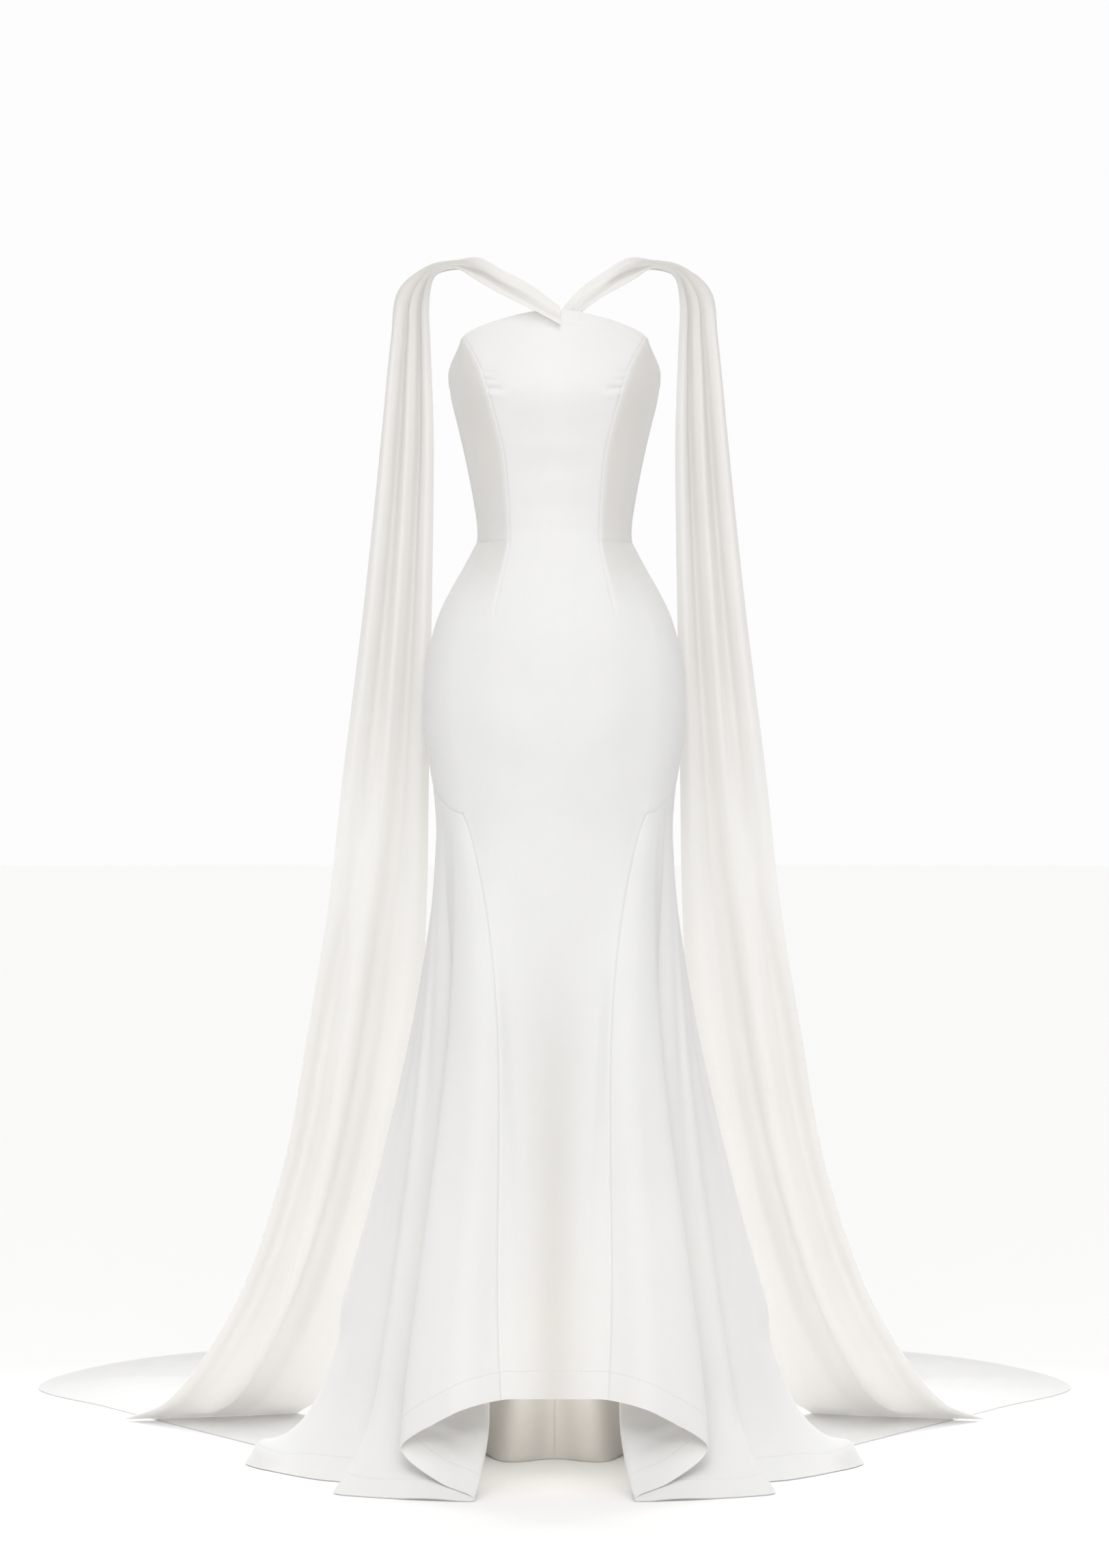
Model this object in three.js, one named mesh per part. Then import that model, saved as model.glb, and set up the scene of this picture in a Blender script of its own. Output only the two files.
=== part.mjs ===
// A high-low mermaid gown with two shoulder capes, worn by nobody.
// Millimetres, +Z up. The front faces -Y. The origin is the middle of the shoulder line.
// Heights in the tables are measured up from the floor. Left is -X and right is +X.
import * as THREE from 'three';

// Driving dimensions
const SHOULDER_HEIGHT = 1500;
const GOWN_WALL = 1.6;
const CAPE_WALL = 1.2;
const SEAM_GAP = 0.3;
const WAIST_HEIGHT = 1146;
const DART_END_HEIGHT = 1047;
const THIGH_FRONT_HEIGHT = 815;
const THIGH_SIDE_HEIGHT = 850;
const SIDE_ANGLE = 92;
const SECTION_POWER = 2.15;
const CUP_LIFT = 5;
const CUP_HEIGHT = 1335;
const CUP_SIZE = 45;
const CUP_ANGLE = 30;
const FRONT_FLARE_POWER = 1.2;
const SIDE_FLARE_POWER = 1.55;
const KICK_START = 0.86;
const BOW_SCALE = 27 / 4;
const BUTTON_COUNT = 12;
const BUTTON_PITCH = 26;
const BUTTON_RADIUS = 5;
const BUTTON_DOME = 3.4;
const BUTTON_RIM = 0.7;
const PLACKET_WALL = 1.2;
const FIRST_BUTTON_DROP = 12;
const CAPE_COLUMNS = 18;

// Fitted part: half width, and depth before and behind the side line, at each height
const BODY = [
  { height: 760, halfWidth: 143.5, front: 98, back: 111 },
  { height: 794, halfWidth: 143.5, front: 99, back: 114 },
  { height: 841, halfWidth: 148, front: 102, back: 121 },
  { height: 899, halfWidth: 157, front: 107, back: 131 },
  { height: 950, halfWidth: 160, front: 109, back: 136 },
  { height: 1000, halfWidth: 157, front: 107, back: 132 },
  { height: 1032, halfWidth: 150, front: 104, back: 122 },
  { height: 1062, halfWidth: 140, front: 99, back: 111 },
  { height: 1090, halfWidth: 126, front: 94, back: 101 },
  { height: 1118, halfWidth: 110, front: 88, back: 91 },
  { height: 1146, halfWidth: 96, front: 84, back: 83 },
  { height: 1161, halfWidth: 94, front: 83, back: 82 },
  { height: 1193, halfWidth: 98, front: 87, back: 84 },
  { height: 1250, halfWidth: 109, front: 101, back: 92 },
  { height: 1293, halfWidth: 119, front: 115, back: 97 },
  { height: 1322, halfWidth: 126, front: 123, back: 99 },
  { height: 1353, halfWidth: 131, front: 122, back: 98 },
  { height: 1382, halfWidth: 125, front: 114, back: 96 },
  { height: 1401, halfWidth: 119, front: 107, back: 94 },
  { height: 1430, halfWidth: 106, front: 96, back: 90 },
];

// Distance of the princess seam, its dart and the line below them from the centre front
const PRINCESS_LINE = [
  { height: 760, offset: 61 },
  { height: 950, offset: 72 },
  { height: 1047, offset: 74 },
  { height: 1078, offset: 68.5 },
  { height: 1142, offset: 55 },
  { height: 1175, offset: 54.5 },
  { height: 1213, offset: 57 },
  { height: 1252, offset: 61 },
  { height: 1286, offset: 69 },
  { height: 1329, offset: 81 },
  { height: 1354, offset: 89 },
  { height: 1373, offset: 98 },
  { height: 1396, offset: 110 },
];

// Height of the top edge round the body, by angle from the centre front
const TOP_EDGE = [
  { angle: 0, height: 1424 },
  { angle: 20, height: 1421 },
  { angle: 40, height: 1414 },
  { angle: 66, height: 1396 },
  { angle: 80, height: 1369 },
  { angle: 92, height: 1351 },
  { angle: 130, height: 1338 },
  { angle: 180, height: 1330 },
];

// Lines down the skirt, from centre front to centre back. share places the line on the fitted
// part: 0 at the princess line, 1 at the side seam, 2 at the centre back. swing is where the
// hanging cloth would meet the floor, foot is where it does, and train is its end on the floor.
const LINES = [
  { name: 'centre front', share: -1, swingX: 0, swingY: -186, footX: 0, footY: -186, foot: 117, bendX: 0, bendY: 0 },
  { name: 'front middle', share: 0, swingX: 33, swingY: -190, footX: 33, footY: -190, foot: 117, bendX: 0, bendY: 0 },
  { name: 'godet seam', share: 0.364, swingX: 63.5, swingY: -197, footX: 63.5, footY: -197, foot: 117, bendX: -27, bendY: -22 },
  { name: 'godet crest', share: 0.455, swingX: 124, swingY: -213, footX: 124, footY: -213, foot: 101, bendX: -20, bendY: -22 },
  { name: 'godet roll', share: 0.53, swingX: 183, swingY: -183, footX: 181, footY: -183, foot: 56, bendX: -14, bendY: -14 },
  { name: 'godet return', share: 0.59, swingX: 130, swingY: -160, footX: 137, footY: -200, foot: 20, bendX: -8, bendY: -7 },
  { name: 'pleat front', share: 0.644, swingX: 70, swingY: -155, footX: 99, footY: -217, foot: 6, bendX: 0, bendY: 0 },
  { name: 'pleat back', share: 0.667, swingX: 70, swingY: -143, footX: 95, footY: -222, foot: 0.8, bendX: 0, bendY: 0 },
  { name: 'second face', share: 0.742, swingX: 165, swingY: -126, footX: 182, footY: -204, foot: 0.8, bendX: 0, bendY: 0 },
  { name: 'second ridge', share: 0.848, swingX: 232, swingY: -105, footX: 265, footY: -158, foot: 0.8, bendX: 0, bendY: 0 },
  { name: 'side seam', share: 1, swingX: 222, swingY: -42, footX: 228, footY: -90, foot: 0.8, bendX: 0, bendY: 0 },
  { name: 'first face', share: 1.08, swingX: 275, swingY: -4, footX: 296, footY: -36, foot: 0.8, bendX: 0, bendY: 0 },
  { name: 'first ridge', share: 1.17, swingX: 330, swingY: 62, footX: 387, footY: 103, foot: 0.8, bendX: 0, bendY: 0 },
  { name: 'notch', share: 1.27, swingX: 296, swingY: 128, footX: 333, footY: 183, foot: 0.8, bendX: 0, bendY: 0 },
  { name: 'back ridge', share: 1.38, swingX: 262, swingY: 182, footX: 300, footY: 245, foot: 0.8, bendX: 0, bendY: 0 },
  { name: 'back valley', share: 1.5, swingX: 205, swingY: 160, footX: 225, footY: 205, foot: 0.8, bendX: 0, bendY: 0 },
  { name: 'tail ridge', share: 1.62, swingX: 165, swingY: 195, footX: 180, footY: 255, foot: 0.8, bendX: 0, bendY: 0 },
  { name: 'tail valley', share: 1.76, swingX: 105, swingY: 160, footX: 108, footY: 205, foot: 0.8, bendX: 0, bendY: 0 },
  { name: 'curtain', share: 1.88, swingX: 50, swingY: 105, footX: 58, footY: 115, foot: 0.8, bendX: 0, bendY: 0 },
  { name: 'centre back', share: 2, swingX: 0, swingY: 136, footX: 0, footY: 145, foot: 0.8, bendX: 0, bendY: 0 },
];

// Numbers of the lines that are seams
const PRINCESS = 1;
const GODET = 2;
const SIDE = 10;

// Where each line of the train ends on the floor. The train starts from nothing at the notch.
const TRAIN_START = 13;
const TRAIN = [
  { line: 13, endX: 333, endY: 183, ripple: 0 },
  { line: 14, endX: 470, endY: 415, ripple: 0 },
  { line: 15, endX: 606, endY: 645, ripple: 0 },
  { line: 16, endX: 727, endY: 868, ripple: 0 },
  { line: 17, endX: 600, endY: 1215, ripple: 8 },
  { line: 18, endX: 330, endY: 1400, ripple: 0 },
  { line: 19, endX: 0, endY: 1450, ripple: 14 },
];

// The cape from its tucked end at the centre front, over the shoulder and down to the floor.
// Each row joins a lower or inner edge to an upper or outer edge, x measured outwards.
// pleats is how deep the cloth folds between them.
const CAPE_ROWS = [
  { lowX: -7, lowY: -113, lowH: 1404, upX: -7, upY: -102, upH: 1427, pleats: 1 },
  { lowX: 29.7, lowY: -106, lowH: 1424, upX: 29.7, upY: -90, upH: 1455, pleats: 2 },
  { lowX: 63.8, lowY: -86, lowH: 1443, upX: 63.8, upY: -70, upH: 1475, pleats: 3 },
  { lowX: 94, lowY: -55, lowH: 1463, upX: 93, upY: -34, upH: 1491, pleats: 3.5 },
  { lowX: 121, lowY: -30, lowH: 1479, upX: 121, upY: 5, upH: 1493, pleats: 3.5 },
  { lowX: 146, lowY: -14, lowH: 1472, upX: 158, upY: 20, upH: 1483, pleats: 4 },
  { lowX: 153, lowY: -3, lowH: 1442, upX: 192, upY: 20, upH: 1452, pleats: 5 },
  { lowX: 152, lowY: 6, lowH: 1385, upX: 201, upY: 24, upH: 1398, pleats: 7 },
  { lowX: 149, lowY: 20, lowH: 1285, upX: 213, upY: 34, upH: 1290, pleats: 9 },
  { lowX: 150, lowY: 36, lowH: 1180, upX: 224, upY: 46, upH: 1184, pleats: 10 },
  { lowX: 153, lowY: 58, lowH: 1040, upX: 240, upY: 64, upH: 1044, pleats: 11 },
  { lowX: 157, lowY: 92, lowH: 869, upX: 263, upY: 92, upH: 869, pleats: 12 },
  { lowX: 161, lowY: 132, lowH: 700, upX: 284, upY: 122, upH: 696, pleats: 13 },
  { lowX: 172, lowY: 180, lowH: 540, upX: 311, upY: 156, upH: 540, pleats: 15 },
  { lowX: 202, lowY: 236, lowH: 380, upX: 343, upY: 210, upH: 375, pleats: 18 },
  { lowX: 240, lowY: 318, lowH: 225, upX: 398, upY: 284, upH: 212, pleats: 19 },
  { lowX: 278, lowY: 410, lowH: 110, upX: 457, upY: 364, upH: 106, pleats: 16 },
  { lowX: 312, lowY: 494, lowH: 36, upX: 515, upY: 442, upH: 34, pleats: 9 },
  { lowX: 347, lowY: 571, lowH: 2.9, upX: 574, upY: 510, upH: 2.9, pleats: 4 },
];

// How the other cape starts: it comes up from inside the neckline.
const INSIDE_START = [
  { lowX: 16, lowY: -95, lowH: 1403, upX: 4, upY: -88, upH: 1419, pleats: 0.6 },
  { lowX: 33, lowY: -86, lowH: 1422, upX: 29.7, upY: -76, upH: 1450, pleats: 1 },
];

// Folds across the cape, from the inner or lower edge (over 0) to the outer one (over 1), on the
// strap, over the shoulder, and on the upper and lower part of the hanging panel
const CAPE_FOLDS = [
  { over: 0.0, strap: 1.0, shoulder: 0.3, upper: 0.2, lower: 0.1 },
  { over: 0.1, strap: 0.7, shoulder: 0.9, upper: 0.9, lower: 0.5 },
  { over: 0.2, strap: 0.0, shoulder: 0.3, upper: 0.2, lower: 0.9 },
  { over: 0.3, strap: -0.8, shoulder: -0.9, upper: -1.0, lower: 0.3 },
  { over: 0.4, strap: -1.2, shoulder: -0.2, upper: -0.1, lower: -0.8 },
  { over: 0.5, strap: -0.7, shoulder: 0.7, upper: 0.8, lower: -0.7 },
  { over: 0.6, strap: 0.2, shoulder: -0.6, upper: -0.3, lower: 0.8 },
  { over: 0.7, strap: 0.5, shoulder: -0.2, upper: -0.9, lower: 0.9 },
  { over: 0.8, strap: 0.5, shoulder: 0.7, upper: 0.3, lower: -0.5 },
  { over: 0.9, strap: 0.2, shoulder: 0.3, upper: 0.8, lower: -0.2 },
  { over: 1.0, strap: -0.4, shoulder: -0.3, upper: -0.1, lower: 0.2 },
];

// How far along the cape, from 0 to 1, each set of folds gives way to the next
const FOLD_CHANGES = [
  { from: 0.16, to: 0.26, into: 'shoulder' },
  { from: 0.32, to: 0.42, into: 'upper' },
  { from: 0.55, to: 0.74, into: 'lower' },
];

const PALE_CREPE = new THREE.Color(0.9, 0.89, 0.875);
const WARM_CHIFFON = new THREE.Color(0.87, 0.85, 0.82);

// Reads a smooth value out of a table with rising keys
function smoothRead(rows, key, value, at) {
  const last = rows.length - 1;
  if (at <= rows[0][key]) return rows[0][value];
  if (at >= rows[last][key]) return rows[last][value];
  let i = 0;
  while (rows[i + 1][key] < at) i += 1;
  const slope = (j) => {
    const a = rows[Math.max(0, j - 1)];
    const b = rows[Math.min(last, j + 1)];
    return (b[value] - a[value]) / (b[key] - a[key]);
  };
  const span = rows[i + 1][key] - rows[i][key];
  const t = (at - rows[i][key]) / span;
  const t2 = t * t;
  const t3 = t2 * t;
  return (2 * t3 - 3 * t2 + 1) * rows[i][value]
    + (t3 - 2 * t2 + t) * span * slope(i)
    + (3 * t2 - 2 * t3) * rows[i + 1][value]
    + (t3 - t2) * span * slope(i + 1);
}

// Angle round the body of a skirt line at one height, in degrees from the centre front
function lineAngle(share, height) {
  if (share < 0) return 0;
  const halfWidth = smoothRead(BODY, 'height', 'halfWidth', height);
  const offset = smoothRead(PRINCESS_LINE, 'height', 'offset', height);
  const sine = Math.min(1, offset / halfWidth) ** (SECTION_POWER / 2);
  const princess = THREE.MathUtils.radToDeg(Math.asin(Math.min(1, sine)));
  if (share <= 1) return princess + share * (SIDE_ANGLE - princess);
  return SIDE_ANGLE + (share - 1) * (180 - SIDE_ANGLE);
}

// A point of the fitted part, with the soft lift of the cups
function bodyPoint(height, angle) {
  const turn = THREE.MathUtils.degToRad(angle);
  const halfWidth = smoothRead(BODY, 'height', 'halfWidth', height);
  const depth = smoothRead(BODY, 'height', angle <= 90 ? 'front' : 'back', height);
  const bend = (value) => Math.sign(value) * Math.abs(value) ** (2 / SECTION_POWER);
  const rise = ((height - CUP_HEIGHT) / CUP_SIZE) ** 2;
  const round = ((angle - CUP_ANGLE) / CUP_ANGLE) ** 2;
  const cup = CUP_LIFT * Math.exp(-rise - 2 * round);
  const x = bend(Math.sin(turn)) * halfWidth;
  const y = -bend(Math.cos(turn)) * (depth + cup);
  return new THREE.Vector3(x, y, height);
}

// Height of the line where the fitted part ends and the flare begins
function thighHeight(share) {
  const reach = THREE.MathUtils.smoothstep(share, LINES[GODET].share, 1);
  return THREE.MathUtils.lerp(THIGH_FRONT_HEIGHT, THIGH_SIDE_HEIGHT, reach);
}

// A point on one line of the gown. down runs 0 at the top edge, 1 at the waist, 2 at the thigh,
// 3 at the hem or the floor and 4 at the end of the train.
function linePoint(index, down) {
  const line = LINES[index];
  if (down <= 1) {
    const topAngle = index === 0 ? 0 : lineAngle(line.share, TOP_EDGE[3].height);
    const top = smoothRead(TOP_EDGE, 'angle', 'height', topAngle);
    const height = THREE.MathUtils.lerp(top, WAIST_HEIGHT, down);
    return bodyPoint(height, lineAngle(line.share, height));
  }
  const thigh = thighHeight(line.share);
  if (down <= 2) {
    const height = THREE.MathUtils.lerp(WAIST_HEIGHT, thigh, down - 1);
    return bodyPoint(height, lineAngle(line.share, height));
  }
  if (down <= 3) {
    const t = down - 2;
    const height = THREE.MathUtils.lerp(thigh, line.foot, t);
    const start = bodyPoint(height, lineAngle(line.share, height));
    const sideways = THREE.MathUtils.smoothstep(line.share, LINES[GODET].share, 1);
    const flare = t ** THREE.MathUtils.lerp(FRONT_FLARE_POWER, SIDE_FLARE_POWER, sideways);
    const kick = Math.max(0, (t - KICK_START) / (1 - KICK_START)) ** 2;
    const bow = BOW_SCALE * t * (1 - t) ** 2;
    const x = start.x + (line.swingX - start.x) * flare + line.bendX * bow;
    const y = start.y + (line.swingY - start.y) * flare + line.bendY * bow;
    return new THREE.Vector3(
      x + (line.footX - line.swingX) * kick,
      y + (line.footY - line.swingY) * kick,
      height,
    );
  }
  const end = TRAIN[index - TRAIN_START];
  const t = down - 3;
  const swell = end.ripple * Math.sin(Math.PI * t ** 3) ** 2;
  return new THREE.Vector3(
    THREE.MathUtils.lerp(line.footX, end.endX, t),
    THREE.MathUtils.lerp(line.footY, end.endY, t),
    GOWN_WALL / 2 + swell,
  );
}

// The section of the gown at one value of down: a curve through all its lines, half of the body
const sections = new Map();
function section(down) {
  if (!sections.has(down)) {
    const first = down > 3 ? TRAIN_START : 0;
    const points = [];
    for (let i = first; i < LINES.length; i += 1) points.push(linePoint(i, down));
    const mirrored = (point) => new THREE.Vector3(-point.x, point.y, point.z);
    const before = first === 0
      ? mirrored(points[1])
      : points[0].clone().multiplyScalar(2).sub(points[1]);
    const after = mirrored(points[points.length - 2]);
    const curve = new THREE.CatmullRomCurve3([before, ...points, after], false, 'centripetal');
    sections.set(down, { curve, first, spans: points.length + 1 });
  }
  return sections.get(down);
}

// A point on the gown's middle surface. round is the line's number, whole at each line.
function gownPoint(round, down) {
  const level = round <= TRAIN_START ? Math.min(down, 3) : down;
  const { curve, first, spans } = section(level);
  return curve.getPoint(THREE.MathUtils.clamp((round - first + 1) / spans, 0, 1));
}

const LAST_LINE = LINES.length - 1;
const ROUND_STEP = 0.04;
const DOWN_STEP = 0.01;

// Directions along the gown's surface at a point: round it, down it and out of it
function gownFrame(round, down) {
  const limit = round > TRAIN_START ? 4 : 3;
  const level = round <= TRAIN_START ? Math.min(down, 3) : down;
  const lower = Math.min(limit, level + DOWN_STEP);
  const upper = Math.max(0, level - DOWN_STEP);
  const atCentre = round === 0 || round === LAST_LINE;
  const left = Math.max(0, round - ROUND_STEP);
  const right = Math.min(LAST_LINE, round + ROUND_STEP);
  const across = gownPoint(right, level).sub(gownPoint(left, level));
  if (atCentre) across.set(round === 0 ? 1 : -1, 0, 0);
  const along = gownPoint(round, lower).sub(gownPoint(round, upper));
  if (atCentre) along.x = 0;
  across.normalize();
  along.normalize();
  const out = new THREE.Vector3().crossVectors(along, across).normalize();
  return { across, along, out };
}

// Turns height above the floor into the part's own frame, on the side asked for
function place(point, side) {
  return [side * point.x, point.y, Math.max(0, point.z) - SHOULDER_HEIGHT];
}

// A closed cloth wall over a grid of outer and inner points, with a rim along every open edge.
// keep(row, column) says which cells are cloth.
function clothWall(outer, inner, keep) {
  const positions = [];
  const index = [];
  const known = new Map();
  const vertex = (point) => {
    const key = point.map((value) => Math.round(value * 2000)).join(',');
    if (!known.has(key)) {
      known.set(key, positions.length / 3);
      positions.push(...point);
    }
    return known.get(key);
  };
  const triangle = (a, b, c) => {
    if (a !== b && b !== c && a !== c) index.push(a, b, c);
  };
  const quad = (a, b, c, d) => {
    const [p, q, r, s] = [a, b, c, d].map(vertex);
    triangle(p, q, r);
    triangle(p, r, s);
  };
  const rows = outer.length - 1;
  const columns = outer[0].length - 1;
  const cloth = (i, j) => i >= 0 && i < rows && j >= 0 && j < columns && keep(i, j);
  for (let i = 0; i < rows; i += 1) {
    for (let j = 0; j < columns; j += 1) {
      if (!cloth(i, j)) continue;
      const corners = [[i, j], [i + 1, j], [i + 1, j + 1], [i, j + 1]];
      quad(...corners.map(([r, c]) => outer[r][c]));
      const [first, ...others] = corners;
      quad(...[first, ...others.reverse()].map(([r, c]) => inner[r][c]));
      const sides = [[0, 1, i, j - 1], [1, 2, i + 1, j], [2, 3, i, j + 1], [3, 0, i - 1, j]];
      for (const [from, to, nextRow, nextColumn] of sides) {
        if (cloth(nextRow, nextColumn)) continue;
        const [a, b] = [corners[from], corners[to]];
        quad(outer[b[0]][b[1]], outer[a[0]][a[1]], inner[a[0]][a[1]], inner[b[0]][b[1]]);
      }
    }
  }
  const geometry = new THREE.BufferGeometry();
  geometry.setAttribute('position', new THREE.Float32BufferAttribute(positions, 3));
  geometry.setIndex(index);
  geometry.computeVertexNormals();
  return geometry;
}

// A named mesh with a plain cloth material
function clothMesh(name, geometry, colour, roughness) {
  const material = new THREE.MeshStandardMaterial({ color: colour, roughness, metalness: 0 });
  const mesh = new THREE.Mesh(geometry, material);
  mesh.name = name;
  return mesh;
}

// Steps from one value to another, both ends included
function steps(from, to, count) {
  return Array.from({ length: count + 1 }, (_, i) => from + ((to - from) * i) / count);
}

// Grid stops with the ends moved in by half a seam gap where they meet another piece
function stops(values, firstSeam, lastSeam) {
  return values.map((at, i) => {
    let shift = 0;
    if (i === 0 && firstSeam) shift = SEAM_GAP / 2;
    if (i === values.length - 1 && lastSeam) shift = -SEAM_GAP / 2;
    return { at, shift };
  });
}

// A panel of the gown. columns run round it and rows down it, side is -1 or 1 for left or right.
function gownPanel(columns, rows, side, keep = () => true, shiftOf = null) {
  const outer = [];
  const inner = [];
  for (const row of rows) {
    const outerRow = [];
    const innerRow = [];
    for (const column of columns) {
      const round = Math.abs(column.at);
      const half = column.at < 0 ? -1 : 1;
      const frame = gownFrame(round, row.at);
      const move = shiftOf ? shiftOf(column, row) : { round: column.shift, down: row.shift };
      const middle = gownPoint(round, row.at)
        .addScaledVector(frame.across, move.round)
        .addScaledVector(frame.along, move.down);
      const reach = GOWN_WALL / 2;
      outerRow.push(place(middle.clone().addScaledVector(frame.out, reach), side * half));
      innerRow.push(place(middle.clone().addScaledVector(frame.out, -reach), side * half));
    }
    outer.push(outerRow);
    inner.push(innerRow);
  }
  if (side < 0) return clothWall(inner, outer, keep);
  return clothWall(outer, inner, keep);
}

const BODICE_ROWS = steps(0, 1, 9);
const DART_END = 1 + (WAIST_HEIGHT - DART_END_HEIGHT) / (WAIST_HEIGHT - THIGH_FRONT_HEIGHT);
const HIP_ROWS = [1, (1 + DART_END) / 2, DART_END, ...steps(DART_END, 2, 5).slice(1)];
const FLARE_ROWS = [2.07, 2.15, 2.25, 2.36, 2.48, 2.6, 2.71, 2.8, 2.87, 2.92, 2.96, 2.985, 3];
const TRAIN_ROWS = [3.03, 3.08, 3.17, 3.32, 3.52, 3.76, 4];
const PLACKET_EDGE = 18.7;
const PLACKET_ROWS = 4;
const GODET_ROUND = [
  GODET, 2.5, 3, 3.4, 3.7, 4, 4.3, 4.65, 5, 5.5, 5.8, 6, 6.5, 7, 7.2, 7.5, 8, 8.5, 9, 9.5, SIDE,
];

// The front: the bodice centre, the hips to the side seams and the skirt down to the raised hem
function frontPanel() {
  const half = [0, 0.25, 0.5, 0.75, PRINCESS];
  const wing = [1.5, ...GODET_ROUND];
  const edge = SEAM_GAP / 2;
  const columns = [];
  for (const at of wing.slice().reverse()) columns.push({ at: -at, bodice: false });
  columns.push({ at: -PRINCESS, bodice: false });
  for (const at of half.slice(1).reverse()) columns.push({ at: -at, bodice: true });
  for (const at of half) columns.push({ at, bodice: true });
  columns.push({ at: PRINCESS, bodice: false });
  for (const at of wing) columns.push({ at, bodice: false });
  const rows = [...BODICE_ROWS, ...HIP_ROWS.slice(1), ...FLARE_ROWS].map((at) => ({ at }));
  const shiftOf = (column, row) => {
    const round = Math.abs(column.at);
    const move = { round: 0, down: 0 };
    if (round === PRINCESS && row.at < DART_END) move.round = column.bodice ? -edge : edge;
    if (!column.bodice && row.at === 1) move.down = edge;
    if (round === GODET && row.at >= 2) move.round = -edge;
    if (round >= GODET && row.at === 2) move.down = -edge;
    if (round === SIDE) move.round = -edge;
    return move;
  };
  const keep = (i, j) => {
    const top = rows[i].at;
    const sides = [columns[j], columns[j + 1]];
    const inBodice = sides.every((column) => column.bodice);
    if (top < 1) return inBodice;
    const dart = sides[0].at === sides[1].at;
    if (dart && top < DART_END) return false;
    if (top < 2) return true;
    return sides.every((column) => Math.abs(column.at) <= GODET);
  };
  return gownPanel(columns, rows, 1, keep, shiftOf);
}

function bodiceSide(side) {
  const columns = stops([PRINCESS, 2, 3.5, 5.2, 6.5, 7.8, 9, SIDE], true, true);
  return gownPanel(columns, stops(BODICE_ROWS, false, true), side);
}

function bodiceBack(side) {
  const columns = stops([SIDE, 11, 12, 13, 14, 15, 16, 17, 18, PLACKET_EDGE, LAST_LINE], true, true);
  return gownPanel(columns, stops(BODICE_ROWS, false, true), side);
}

function skirtGodet(side) {
  return gownPanel(stops(GODET_ROUND, true, true), stops([2, ...FLARE_ROWS], true, false), side);
}

const BACK_ROUND = [SIDE, ...steps(10.5, 18.5, 16), PLACKET_EDGE, LAST_LINE];

function hipBack(side) {
  return gownPanel(stops(BACK_ROUND, true, true), stops(HIP_ROWS, true, true), side);
}

function skirtBack(side) {
  const columns = stops(BACK_ROUND, true, true);
  const rows = stops([2, ...FLARE_ROWS, ...TRAIN_ROWS], true, false);
  const keep = (i, j) => rows[i].at < 3 || columns[j].at >= TRAIN_START;
  return gownPanel(columns, rows, side, keep);
}

// The rows of the back panels that carry the placket
const BACK_ROWS = [...BODICE_ROWS, ...HIP_ROWS.slice(1, PLACKET_ROWS)];

// A point and its outward direction on a back panel, moved out by lift
function backPoint(round, down, lift) {
  const { out } = gownFrame(round, down);
  return { point: gownPoint(round, down).addScaledVector(out, lift), out };
}

// The strip under the buttons lies on both back panels, made from their points moved out
function buttonPlacket() {
  const lift = GOWN_WALL / 2 + SEAM_GAP;
  const outer = [];
  const inner = [];
  for (const down of BACK_ROWS) {
    const outerRow = [];
    const innerRow = [];
    for (const [round, side] of [[PLACKET_EDGE, 1], [LAST_LINE, 1], [PLACKET_EDGE, -1]]) {
      innerRow.push(place(backPoint(round, down, lift).point, side));
      outerRow.push(place(backPoint(round, down, lift + PLACKET_WALL).point, side));
    }
    outer.push(outerRow);
    inner.push(innerRow);
  }
  return clothWall(outer, inner, () => true);
}

// A covered button, a low dome standing on the placket
function backButton(number) {
  const lift = GOWN_WALL / 2 + SEAM_GAP * 2 + PLACKET_WALL;
  const face = BACK_ROWS.map((down) => backPoint(LAST_LINE, down, lift));
  const height = face[0].point.z - FIRST_BUTTON_DROP - BUTTON_PITCH * number;
  let row = 0;
  while (face[row + 1].point.z > height) row += 1;
  const [above, below] = [face[row].point, face[row + 1].point];
  const share = (above.z - height) / (above.z - below.z);
  const foot = above.clone().lerp(below, share);
  const slope = below.clone().sub(above);
  const out = new THREE.Vector3(0, -slope.z, slope.y).normalize();
  const profile = [new THREE.Vector2(0, 0), new THREE.Vector2(BUTTON_RADIUS * 0.8, 0)];
  for (const turn of steps(0, Math.PI / 2, 3)) {
    profile.push(new THREE.Vector2(
      BUTTON_RADIUS * Math.cos(turn),
      BUTTON_RIM + (BUTTON_DOME - BUTTON_RIM) * Math.sin(turn),
    ));
  }
  profile[profile.length - 1].x = 0;
  const geometry = new THREE.LatheGeometry(profile, 12);
  const up = new THREE.Vector3(0, 1, 0);
  geometry.applyQuaternion(new THREE.Quaternion().setFromUnitVectors(up, out));
  geometry.translate(foot.x, foot.y, foot.z - SHOULDER_HEIGHT);
  return geometry;
}

// The cape's edge rows as smooth curves down its length
function capeEdges(rows) {
  const curve = (x, y, height) => new THREE.CatmullRomCurve3(
    rows.map((row) => new THREE.Vector3(row[x], row[y], row[height])), false, 'centripetal',
  );
  return { low: curve('lowX', 'lowY', 'lowH'), up: curve('upX', 'upY', 'upH') };
}

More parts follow.
